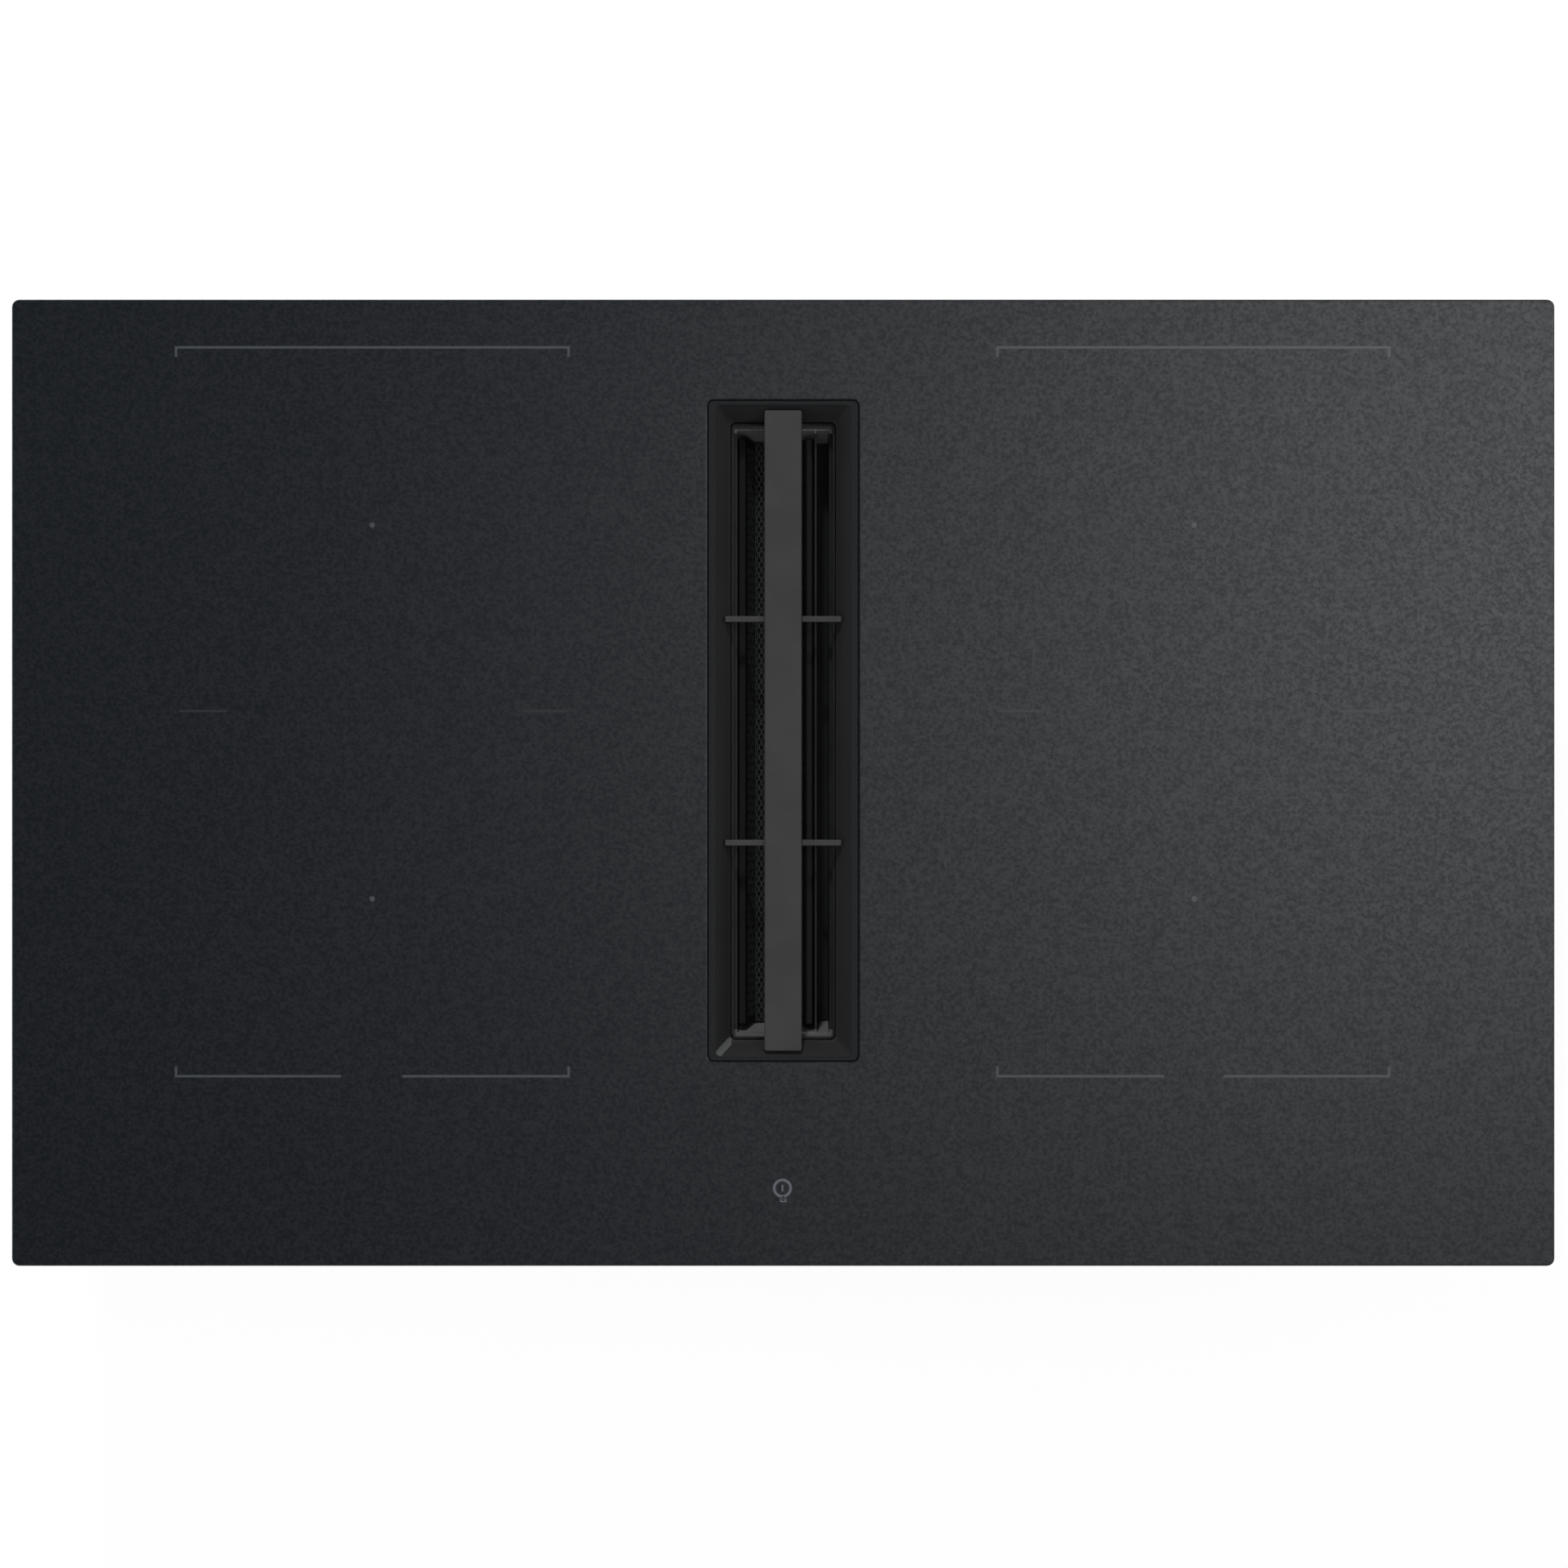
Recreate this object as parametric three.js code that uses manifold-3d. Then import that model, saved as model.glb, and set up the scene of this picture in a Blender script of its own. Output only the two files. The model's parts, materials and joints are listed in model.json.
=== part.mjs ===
// Downdraft induction cooktop: a glass hob with an air inlet down its middle, the induction
// unit in a steel pan below it, and under that the casing of the cooking-fume extractor.
// Millimetres. +X is the cook's right, +Y is the back, +Z is up. The origin lies below the
// middle of the glass, on the surface that the extractor casing stands on.

import * as THREE from 'three';
import { mergeVertices } from 'three/addons/utils/BufferGeometryUtils.js';
import Module from 'manifold-3d';

const wasm = await Module();
wasm.setup();

// ---------------------------------------------------------------- driving dimensions

// Fits
const fitGap = 0.3; // between two pieces that touch
const slideGap = 0.4; // around a piece that lifts or slides out
const overcut = 1; // how far a cutting solid runs past the face that it opens
const weld = 0.3; // how far two joined walls run into each other

// Glass plate
const glassLength = 830;
const glassDepth = 520;
const glassThickness = 4;
const glassCorner = 4;
const glassArris = 0.8;

// Air inlet through the glass
const inletWidth = 81;
const inletFrontMargin = 110.25; // from the front edge of the glass
const inletRearMargin = 54.25;
const inletCorner = 3;

// Seal between the glass and the worktop
const sealThickness = 2;
const sealWidth = 10;
const sealInset = 2;

// Steel body of the induction unit
const sideOverhang = 30; // of the glass beyond the body
const endOverhang = 20;
const bodyCorner = 8;
const bodySheet = 1.2;
const hobHeight = 56; // underside of the pan to underside of the glass
const frameFlange = 10;
const skirtHeight = 18;
const panHoleGap = 1.5; // around the air well

// Moulded frame of the air inlet
const gasketThickness = 1.5;
const gasketInset = 1;
const flangeOverlap = 9.5;
const flangeThickness = 3;
const flangeCorner = 8;
const lipDrop = 0.5; // top of the frame below the top of the glass
const sideLip = 3.7;
const endLip = 2;
const sideSlope = 8;
const endSlope = 8.05;
const slopeHeight = 10.5;
const neckHeight = 13;
const neckWall = 3;
const neckCorner = 3;
const ledgeWidth = 2;
const ledgeThickness = 2;

// Grille: one bar along the inlet on two cross rods
const barWidth = 20.2;
const barThickness = 6;
const barEndGap = 5; // from the bar to the outside of the frame
const barEdge = 0.6;
const barCorner = 1.2;
const rodSize = 3.2;
const rodSpacing = 120.6;
const rodDrop = 0.9; // underside of the rods below the underside of the bar

// Grease filter cassette
const cassetteSheet = 1.2;
const collarHeight = 7.7;
const cassetteDepth = 88; // collar underside to the foot of the end walls
const footWidth = 24; // of the end walls
const channelWidth = 9.1; // finger channel along the right side
const channelDepth = 30;
const meshThickness = 4;
const meshSpread = 3.5; // foot of each mesh panel, from the middle
const troughHalfWidth = 10.2;
const troughHeight = 9;
const troughRise = 11; // underside of the trough above the foot of the end walls
const tabLength = 8;
const endLean = 5.4; // how far each end wall leans in below the collar
const endLeanDrop = 36;

// Air well through the induction unit
const wellGap = 10.5; // around the neck
const wellWall = 2;
const wellCorner = 10;
const wellInsert = 15; // length pushed into the extractor casing
const wellFoot = 7; // flange that stands on the pan
const wellJointGap = 0.5;

// Cooking zones, coils and the sheets that carry them
const zoneSideMargin = 194; // from the middle of a zone to the edge of the glass
const zoneRearMargin = 121;
const zoneFrontMargin = 198;
const coilWidth = 192;
const coilSpacing = 19; // between the front and the rear coil
const coilRoundness = 0.75; // corner radius as a share of width times depth over their sum
const coilEyeWidth = 56;
const coilEyeDepth = 50;
const coilEyeCorner = 24;
const coilThickness = 6.5;
const coilGrooves = 2;
const grooveWidth = 3;
const grooveDepth = 1.2;
const coilGlassGap = 1.8;
const formerMargin = 3;
const formerThickness = 6;
const formerEye = 20;
const carrierSheet = 1.5;
const carrierMargin = 8;
const legWidth = 30;
const legFoot = 10;
const legInset = 30;

// Electronics on the floor of the pan
const boardThickness = 1.6;
const bossHeight = 5.8;
const bossRadius = 4;
const bossInset = 9;
const powerBoardWidth = 186;
const filterBoardWidth = 150;
const filterBoardDepth = 66;
const filterBoardGap = 6;
const filterBoardWallGap = 21.3;
const fanBoardGap = 50.3;
const chokeRadius = 20;
const chokeBore = 8;
const chokeHeight = 16;
const capacitorRadius = 11;
const capacitorHeight = 22;
const capacitorPitch = 33;
const sinkWidth = 44;
const sinkInset = 23; // from the ends of the board
const sinkHeight = 24;
const sinkBase = 4;
const sinkFins = 8;
const finThickness = 1.6;
const sinkOffset = 50;

// Cooling fans on the floor of the pan
const fanSize = 92;
const fanHeight = 25;
const fanBore = 43;
const fanWallGap = 3;
const fanHub = 16.5;
const fanBlades = 7;
const fanBladeWidth = 15;
const fanBladeThickness = 1.5;
const fanBladePitch = 0.62; // radians
const fanTipGap = 1.8;
const fanStrut = 4;
const fanPlate = 3;
const fanPin = 2.5;
const fanScrewHole = 2.2;
const louvreCount = 9;
const louvreWidth = 4;

// Touch control behind the front edge of the glass
const touchWidth = 310;
const touchDepth = 48;
const touchWall = 2;
const touchFloor = 3;
const touchFrameGap = 1;
const touchLegRadius = 4;
const touchLegInset = 14;
const touchPads = 7;
const touchPadPitch = 40;
const touchPadRadius = 4;
const touchPadMargin = 42; // from the front edge of the glass

// Mains connection at the back
const terminalWidth = 38;
const terminalDepth = 26;
const terminalHeight = 22;
const terminalScrew = 3.8;
const terminalScrewPitch = 9.5;
const terminalInset = 28; // from the side of the body
const windowHeight = 22;
const windowRise = 8; // above the floor of the pan
const coverMargin = 3;
const coverHingeRadius = 1.8;
const coverPinRadius = 1.1;
const earThickness = 2.5;
const earReach = 3; // round the hinge pin
const terminalSheet = 1.2;
const glandInset = 85;
const glandRise = 17;
const glandHole = 9;
const glandNut = 13;
const glandNutThickness = 5;
const glandDome = 10;
const glandLength = 14;
const glandBore = 5;

// Worktop clamps
const clampInset = 90; // from the front and the back of the body
const clampOffset = 6; // screw outside the body
const clampReach = 21;
const clampWidth = 14;
const clampThickness = 3;
const clampPadHeight = 5;
const clampPadLength = 6;
const clampScrew = 2.5;
const clampScrewHead = 5;
const clampHeadHeight = 3;
const clampRise = 4; // arm above the underside of the pan
const lugThickness = 2.5;
const lugMargin = 7;
const lugDrop = 3; // below the skirt

// Extractor casing
const trayHeight = 42.7;
const trayMargin = 13;
const trayWall = 2.5;
const trayCorner = 18;
const partitionThickness = 3;
const housingHeight = 103.4; // underside of the partition to the top of the scroll wall
const housingWall = 2.5;
const coverThickness = 3;
const coverOverhang = 4;
const scrollY = 20;
const scrollWellGap = 6; // between the well and the scroll
const tongueGap = 8;
const tongueAngle = Math.PI / 3;
const scrollGrowth = 52;
const scrollSteps = 30;
const outletFaceY = 202.7;

// Blower
const wheelRadius = 105;
const wheelCoverGap = 6.4;
const wheelRise = 9; // above the partition
const wheelPlate = 3;
const bladeCount = 30;
const bladeInner = 84;
const bladeOuter = 103.5;
const bladeThickness = 1.4;
const bladeSweep = 0.16; // radians between the inner and the outer edge
const bladeBow = 0.07; // radians that the middle of a blade bows forward
const shroudInner = 82;
const hubRadius = 42.5;
const hubWall = 2.5;
const hubDepth = 42;
const rotorWall = 3.5;
const rotorTopGap = 4;
const shaftRadius = 4;
const shaftNut = 7;
const shaftNutHeight = 6;
const bearingRadius = 11;
const bearingWidth = 6;
const statorTubeWall = 4;
const statorRadius = 33;
const statorStack = 22;
const statorFlangeRadius = 46;
const statorFlangeThickness = 3;
const windingRadius = 29;
const windingHeight = 3;
const inletRingRadius = 100;
const inletRingThickness = 2.7;
const inletThroat = 77.5;
const inletThroatWall = 1.5;
const inletHoleRadius = 88;
const inletRingTopGap = 1;
const inletBellGap = 2; // bell of the ring inside the partition's hole

// Outlet spigot and its two backdraft flaps
const ductWidth = 222;
const ductHeight = 89;
const ductWall = 2;
const ductCorner = 3;
const spigotFlange = 3;
const spigotLength = 38;
const flapCount = 2;
const flapInset = 9; // pivots beyond the flange
const flapThickness = 1.5;
const flapRodRadius = 2;
const flapPinRadius = 1.5;
const flapTopGap = 2.5;

// Overflow drawer in the casing's tray
const drawerWidth = 76;
const drawerLength = 195;
const drawerHeight = 22;
const drawerWall = 1.5;
const drawerFrontThickness = 3;
const drawerFrontMargin = 6;
const drawerPullWidth = 40;
const drawerPullDepth = 7;
const railWidth = 2;
const railHeight = 8;

// Facets
const arcSteps = 2; // half the facets of each rounded corner
const hexagon = 6;
const pinRound = 8;
const smallRound = 12;
const mediumRound = 24;
const largeRound = 40;

// ---------------------------------------------------------------- heights and shared sizes

const partitionBottom = trayHeight + fitGap;
const partitionTop = partitionBottom + partitionThickness;
const housingTop = partitionBottom + housingHeight;
const coverBottom = housingTop + fitGap;
const coverTop = coverBottom + coverThickness;
const panBottom = coverTop + fitGap;
const panFloor = panBottom + bodySheet;
const glassBottom = panBottom + hobHeight;
const glassTop = glassBottom + glassThickness;

const bodyLength = glassLength - 2 * sideOverhang;
const bodyDepth = glassDepth - 2 * endOverhang;
const clampY = bodyDepth / 2 - clampInset;
const terminalX = bodyLength / 2 - terminalInset;
const glandX = bodyLength / 2 - glandInset;
const frameBottom = glassBottom - bodySheet;
const skirtBottom = frameBottom - skirtHeight;
const panLength = bodyLength - 2 * (bodySheet + fitGap);
const panDepth = bodyDepth - 2 * (bodySheet + fitGap);
const panCorner = bodyCorner - bodySheet - fitGap;
const panTop = frameBottom - fitGap;

const inletLength = glassDepth - inletFrontMargin - inletRearMargin;
const inletY = (inletFrontMargin - inletRearMargin) / 2; // its middle, behind the middle of the glass
const ventTop = glassTop - lipDrop;
const ventWidth = inletWidth - 2 * fitGap;
const ventLength = inletLength - 2 * fitGap;
const ventFlangeTop = glassBottom - gasketThickness;
const ventFlangeBottom = ventFlangeTop - flangeThickness;
const ventFlangeWidth = inletWidth + 2 * flangeOverlap;
const ventFlangeLength = inletLength + 2 * flangeOverlap;
const neckTop = ventTop - slopeHeight;
const neckBottom = neckTop - neckHeight;
const neckWidth = ventWidth - 2 * (sideLip + sideSlope);
const neckLength = ventLength - 2 * (endLip + endSlope);
const ledgeTop = neckBottom + ledgeThickness;
const ledgeHoleWidth = neckWidth - 2 * ledgeWidth;
const ledgeHoleLength = neckLength - 2 * ledgeWidth;

const barBottom = glassTop - barThickness;
const barLength = ventLength - 2 * barEndGap;
const rodBottom = barBottom - rodDrop;

const wellInnerWidth = neckWidth + 2 * (neckWall + wellGap);
const wellInnerLength = neckLength + 2 * (neckWall + wellGap);
const wellWidth = wellInnerWidth + 2 * wellWall;
const wellLength = wellInnerLength + 2 * wellWall;
const wellTop = ventFlangeBottom - fitGap;
const wellBottom = coverTop - wellInsert;
const shaftWellWidth = wellWidth + 2 * wellJointGap; // the casing's own part of the well
const shaftWellLength = wellLength + 2 * wellJointGap;

const zoneX = glassLength / 2 - zoneSideMargin;
const zoneRearY = glassDepth / 2 - zoneRearMargin;
const zoneFrontY = zoneFrontMargin - glassDepth / 2;
const coilDepth = zoneRearY - zoneFrontY - coilSpacing;
const coilCorner = coilRoundness * coilWidth * coilDepth / (coilWidth + coilDepth);
const coilTop = glassBottom - coilGlassGap;
const coilBottom = coilTop - coilThickness;
const formerBottom = coilBottom - fitGap - formerThickness;
const carrierTop = formerBottom - fitGap;
const carrierBottom = carrierTop - carrierSheet;
const boardBottom = panFloor + bossHeight + fitGap;
const boardTop = boardBottom + boardThickness;
const fanBottom = panFloor + fitGap;
const fanX = panLength / 2 - bodySheet - fanWallGap - fanSize / 2;
const fanY = -(panDepth / 2 - bodySheet - fanWallGap - fanSize / 2);

const filterBoardY = panDepth / 2 - bodySheet - filterBoardWallGap - filterBoardDepth / 2;
const powerBoardBack = filterBoardY - filterBoardDepth / 2 - filterBoardGap;
const powerBoardFront = fanY + fanSize / 2 + fanBoardGap;
const powerBoardY = (powerBoardFront + powerBoardBack) / 2;
const powerBoardDepth = powerBoardBack - powerBoardFront;
const sinkDepth = powerBoardDepth - 2 * sinkInset;
const touchPadY = touchPadMargin - glassDepth / 2;

const scrollX = shaftWellWidth / 2 + housingWall + scrollWellGap + housingWall + scrollRadius(Math.PI);
const outletRight = scrollX + scrollRadius(2 * Math.PI);
const outletLeft = outletRight - ductWidth;
const trayLeft = -(shaftWellWidth / 2 + housingWall + trayMargin);
const trayRight = outletRight + housingWall + trayMargin;
const trayFront = inletY - shaftWellLength / 2 - housingWall - trayMargin;
const trayBack = inletY + shaftWellLength / 2 + housingWall + trayMargin;
const trayX = (trayLeft + trayRight) / 2;
const trayY = (trayFront + trayBack) / 2;
const trayLength = trayRight - trayLeft;
const trayDepth = trayBack - trayFront;

const zones = [
  { name: 'rear_left', x: -zoneX, y: zoneRearY },
  { name: 'front_left', x: -zoneX, y: zoneFrontY },
  { name: 'rear_right', x: zoneX, y: zoneRearY },
  { name: 'front_right', x: zoneX, y: zoneFrontY },
];
const sides = [
  { name: 'left', sign: -1 },
  { name: 'right', sign: 1 },
];
const boards = [
  { x: -zoneX, y: powerBoardY, width: powerBoardWidth, depth: powerBoardDepth },
  { x: zoneX, y: powerBoardY, width: powerBoardWidth, depth: powerBoardDepth },
  { x: zoneX, y: filterBoardY, width: filterBoardWidth, depth: filterBoardDepth },
];

// ---------------------------------------------------------------- finishes

function finish(color, roughness, metalness = 0) {
  return new THREE.MeshStandardMaterial({ color, roughness, metalness });
}

const blackGlass = finish(0x2b3033, 0.3);
const darkGrille = finish(0x3e3e3e, 0.55, 0.2);
const blackPlastic = finish(0x202223, 0.6);
const greyPlastic = finish(0x55585a, 0.6);
const rubber = finish(0x1a1b1c, 0.85);
const zincSteel = finish(0x9a9fa2, 0.45, 0.9);
const aluminium = finish(0xb8bbbd, 0.4, 0.9);
const filterMetal = finish(0x5a5d60, 0.45, 0.85);
const copper = finish(0x9c5a34, 0.4, 0.8);
const ferrite = finish(0x3b3a3a, 0.8);
const boardGreen = finish(0x1f4a33, 0.55);
const paleWheel = finish(0x6d7174, 0.55);

// ---------------------------------------------------------------- solid helpers

// A closed three.js geometry as a solid that can be joined and cut.
function solidOf(geometry) {
  const bare = geometry.clone();
  bare.deleteAttribute('normal');
  bare.deleteAttribute('uv');
  const merged = mergeVertices(bare, 1e-4);
  const corners = [];
  for (let i = 0; i < merged.index.count; i += 3) {
    const [a, b, c] = [0, 1, 2].map((k) => merged.index.getX(i + k));
    if (a !== b && b !== c && c !== a) corners.push(a, b, c);
  }
  return new wasm.Manifold(new wasm.Mesh({
    numProp: 3,
    vertProperties: new Float32Array(merged.attributes.position.array),
    triVerts: new Uint32Array(corners),
  }));
}

function geometryOf(solid) {
  const mesh = solid.getMesh();
  const geometry = new THREE.BufferGeometry();
  geometry.setAttribute('position', new THREE.BufferAttribute(mesh.vertProperties, 3));
  geometry.setIndex(new THREE.BufferAttribute(mesh.triVerts, 1));
  geometry.computeVertexNormals();
  return geometry;
}

function join(solids) {
  return solids.reduce((whole, solid) => whole.add(solid));
}

function cut(solid, tools) {
  return tools.reduce((rest, tool) => rest.subtract(tool), solid);
}

// A rectangle with round corners, by its middle.
function rectangle(width, depth, corner = 0, x = 0, y = 0) {
  const shape = new THREE.Shape();
  const [left, right, front, back] = [x - width / 2, x + width / 2, y - depth / 2, y + depth / 2];
  if (corner <= 0) {
    shape.setFromPoints([[left, front], [right, front], [right, back], [left, back]]
      .map(([px, py]) => new THREE.Vector2(px, py)));
    return shape;
  }
  shape.moveTo(right, back - corner);
  shape.absarc(right - corner, back - corner, corner, 0, Math.PI / 2);
  shape.absarc(left + corner, back - corner, corner, Math.PI / 2, Math.PI);
  shape.absarc(left + corner, front + corner, corner, Math.PI, 1.5 * Math.PI);
  shape.absarc(right - corner, front + corner, corner, 1.5 * Math.PI, 2 * Math.PI);
  return shape;
}

function polygon(points) {
  return new THREE.Shape(points.map(([x, y]) => new THREE.Vector2(x, y)));
}

// An outline raised from bottom to top.
function raised(shape, bottom, top) {
  const settings = { depth: top - bottom, bevelEnabled: false, curveSegments: arcSteps };
  return solidOf(new THREE.ExtrudeGeometry(shape, settings).translate(0, 0, bottom));
}

// The same with its upper and lower edges taken off.
function raisedWithEdges(shape, bottom, top, edge) {
  const settings = {
    depth: top - bottom - 2 * edge,
    bevelThickness: edge,
    bevelSize: edge,
    bevelOffset: -edge,
    bevelSegments: 1,
    curveSegments: arcSteps,
  };
  return solidOf(new THREE.ExtrudeGeometry(shape, settings).translate(0, 0, bottom + edge));
}

// An outline in the plane of X and Z, drawn from one Y to another.
function alongY(shape, front, back) {
  const settings = { depth: back - front, bevelEnabled: false, curveSegments: arcSteps };
  const geometry = new THREE.ExtrudeGeometry(shape, settings);
  return solidOf(geometry.rotateX(Math.PI / 2).translate(0, back, 0));
}

// An outline in the plane of Y and Z, drawn from one X to another.
function alongX(shape, left, right) {
  const settings = { depth: right - left, bevelEnabled: false, curveSegments: arcSteps };
  const turn = new THREE.Matrix4().set(0, 0, 1, left, 1, 0, 0, 0, 0, 1, 0, 0, 0, 0, 0, 1);
  return solidOf(new THREE.ExtrudeGeometry(shape, settings).applyMatrix4(turn));
}

function block(left, right, front, back, bottom, top) {
  const geometry = new THREE.BoxGeometry(right - left, back - front, top - bottom);
  return solidOf(geometry.translate((left + right) / 2, (front + back) / 2, (bottom + top) / 2));
}

function disc(radius, bottom, top, x = 0, y = 0, steps = smallRound) {
  const geometry = new THREE.CylinderGeometry(radius, radius, top - bottom, steps);
  return solidOf(geometry.rotateX(Math.PI / 2).translate(x, y, (bottom + top) / 2));
}

function discAlongY(radius, front, back, x, z, steps = smallRound) {
  const geometry = new THREE.CylinderGeometry(radius, radius, back - front, steps);
  return solidOf(geometry.translate(x, (front + back) / 2, z));
}

function discAlongX(radius, left, right, y, z, steps = smallRound) {
  const geometry = new THREE.CylinderGeometry(radius, radius, right - left, steps);
  return solidOf(geometry.rotateZ(Math.PI / 2).translate((left + right) / 2, y, z));
}

// A closed outline of [radius, height] points, turned round the Z axis.
function turned(profile, steps = mediumRound) {
  const ring = profile.map(([radius, height]) => new THREE.Vector2(radius, height));
  const points = THREE.ShapeUtils.area(ring) > 0 ? ring : ring.reverse();
  const geometry = new THREE.LatheGeometry([...points, points[0].clone()], steps);
  return solidOf(geometry.rotateX(Math.PI / 2));
}

// A straight tube of a rounded rectangle, by its outer size.
function tube(width, depth, corner, wall, bottom, top, x = 0, y = 0) {
  const outline = rectangle(width, depth, corner, x, y);
  const innerCorner = Math.max(corner - wall, 0);
  outline.holes.push(rectangle(width - 2 * wall, depth - 2 * wall, innerCorner, x, y));
  return raised(outline, bottom, top);
}

function polar(radius, angle, x = 0, y = 0) {
  return [x + radius * Math.cos(angle), y + radius * Math.sin(angle)];
}

// Every piece is one named mesh in the group of its sub-assembly.
function addPiece(group, name, solid, material, x = 0, y = 0, z = 0) {
  const mesh = new THREE.Mesh(geometryOf(solid), material);
  mesh.name = name;
  mesh.position.set(x, y, z);
  group.add(mesh);
  return mesh;
}

// ---------------------------------------------------------------- glass and steel body

function glassPlate() {
  const outline = rectangle(glassLength, glassDepth, glassCorner);
  outline.holes.push(rectangle(inletWidth, inletLength, inletCorner, 0, inletY));
  return raisedWithEdges(outline, glassBottom, glassTop, glassArris);
}

function worktopSeal() {
  const length = glassLength - 2 * sealInset;
  const depth = glassDepth - 2 * sealInset;
  return tube(length, depth, glassCorner, sealWidth, glassBottom - sealThickness, glassBottom);
}

function glassFrame() {
  return join([
    tube(bodyLength, bodyDepth, bodyCorner, frameFlange, frameBottom, glassBottom),
    tube(bodyLength, bodyDepth, bodyCorner, bodySheet, skirtBottom, glassBottom - bodySheet / 2),
  ]);
}

function clampPlaces() {
  const places = [];
  for (const side of sides) {
    for (const [end, y] of [['front', -clampY], ['rear', clampY]]) {
      const x = side.sign * (bodyLength / 2 + clampOffset);
      places.push({ name: `${end}_${side.name}`, sign: side.sign, x, y });
    }
  }
  return places;
}

function boardBosses() {
  const bosses = [];
  for (const board of boards) {
    for (const sx of [-1, 1]) {
      for (const sy of [-1, 1]) {
        const x = board.x + sx * (board.width / 2 - bossInset);
        const y = board.y + sy * (board.depth / 2 - bossInset);
        bosses.push(disc(bossRadius, panBottom, panFloor + bossHeight, x, y, hexagon));
      }
    }
  }
  return bosses;
}

// Long slots under a fan, cut to the chords of its bore.
function louvres(x, y) {
  const slots = [];
  const pitch = 2 * fanBore / (louvreCount + 1);
  for (let i = 1; i <= louvreCount; i++) {
    const offset = i * pitch - fanBore;
    const half = Math.sqrt(fanBore ** 2 - offset ** 2) - louvreWidth;
    slots.push(block(
      x - half, x + half, y + offset - louvreWidth / 2, y + offset + louvreWidth / 2,
      panBottom - overcut, panFloor + overcut,
    ));
  }
  return slots;
}

function basePan() {
  const wallX = panLength / 2;
  const wallY = panDepth / 2;
  const shell = cut(raised(rectangle(panLength, panDepth, panCorner), panBottom, panTop), [
    raised(
      rectangle(panLength - 2 * bodySheet, panDepth - 2 * bodySheet, panCorner - bodySheet),
      panFloor, panTop + overcut,
    ),
  ]);
  const lugTop = skirtBottom - lugDrop;
  const lugs = clampPlaces().map(({ x, y, sign }) => {
    const near = sign * (wallX - bodySheet / 2);
    const far = x + sign * lugMargin;
    return block(
      Math.min(near, far), Math.max(near, far), y - lugMargin, y + lugMargin,
      lugTop - lugThickness, lugTop,
    );
  });
  const screwHoles = clampPlaces().map(({ x, y }) =>
    disc(clampScrew + fitGap, lugTop - lugThickness - overcut, lugTop + overcut, x, y));
  const ears = [-1, 1].map((sign) => {
    const near = terminalX + sign * (coverHalf + fitGap);
    const far = near + sign * earThickness;
    return block(
      Math.min(near, far), Math.max(near, far), wallY - bodySheet / 2, coverHingeY + earReach,
      coverHingeZ - earReach, coverHingeZ + coverHingeRadius,
    );
  });
  const earSpan = coverHalf + earThickness + overcut;
  const holeWidth = wellWidth + 2 * panHoleGap;
  const holeLength = wellLength + 2 * panHoleGap;
  const wellHole = rectangle(holeWidth, holeLength, wellCorner + panHoleGap, 0, inletY);
  return cut(join([shell, ...lugs, ...ears, ...boardBosses()]), [
    raised(wellHole, panBottom - overcut, panFloor + overcut),
    ...sides.flatMap((side) => louvres(side.sign * fanX, fanY)),
    ...screwHoles,
    discAlongX(
      coverPinRadius + fitGap, terminalX - earSpan, terminalX + earSpan, coverHingeY, coverHingeZ, pinRound,
    ),
    discAlongY(
      glandHole + fitGap, wallY - bodySheet - overcut, wallY + overcut, glandX, panFloor + glandRise,
    ),
    block(
      terminalX - terminalWidth / 2, terminalX + terminalWidth / 2,
      wallY - bodySheet - overcut, wallY + overcut,
      panFloor + windowRise, panFloor + windowRise + windowHeight,
    ),
  ]);
}

function addBody(group) {
  addPiece(group, 'glass_plate', glassPlate(), blackGlass);
  addPiece(group, 'worktop_seal', worktopSeal(), rubber);
  addPiece(group, 'glass_frame', glassFrame(), zincSteel);
  addPiece(group, 'base_pan', basePan(), zincSteel);
}

// ---------------------------------------------------------------- air inlet and grille

// Half the width of the inlet between its slopes, at a height.
function slopeHalfWidth(height) {
  return neckWidth / 2 + sideSlope * (height - neckTop) / slopeHeight;
}

// The funnel between the neck and the lip: its outline widens by a different step along X and Y.
function funnel() {
  const top = ventTop + overcut;
  const growX = sideSlope * (top - neckTop) / slopeHeight;
  const growY = endSlope * (top - neckTop) / slopeHeight;
  const outline = rectangle(neckWidth, neckLength, neckCorner);
  const settings = { depth: top - neckTop, bevelEnabled: false, curveSegments: arcSteps };
  const geometry = new THREE.ExtrudeGeometry(outline, settings);
  const position = geometry.attributes.position;
  for (let i = 0; i < position.count; i++) {
    if (position.getZ(i) > 0) {
      position.setX(i, position.getX(i) + growX * Math.sign(position.getX(i)));
      position.setY(i, position.getY(i) + growY * Math.sign(position.getY(i)));
    }
  }
  return solidOf(geometry.translate(0, inletY, neckTop));
}

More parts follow.
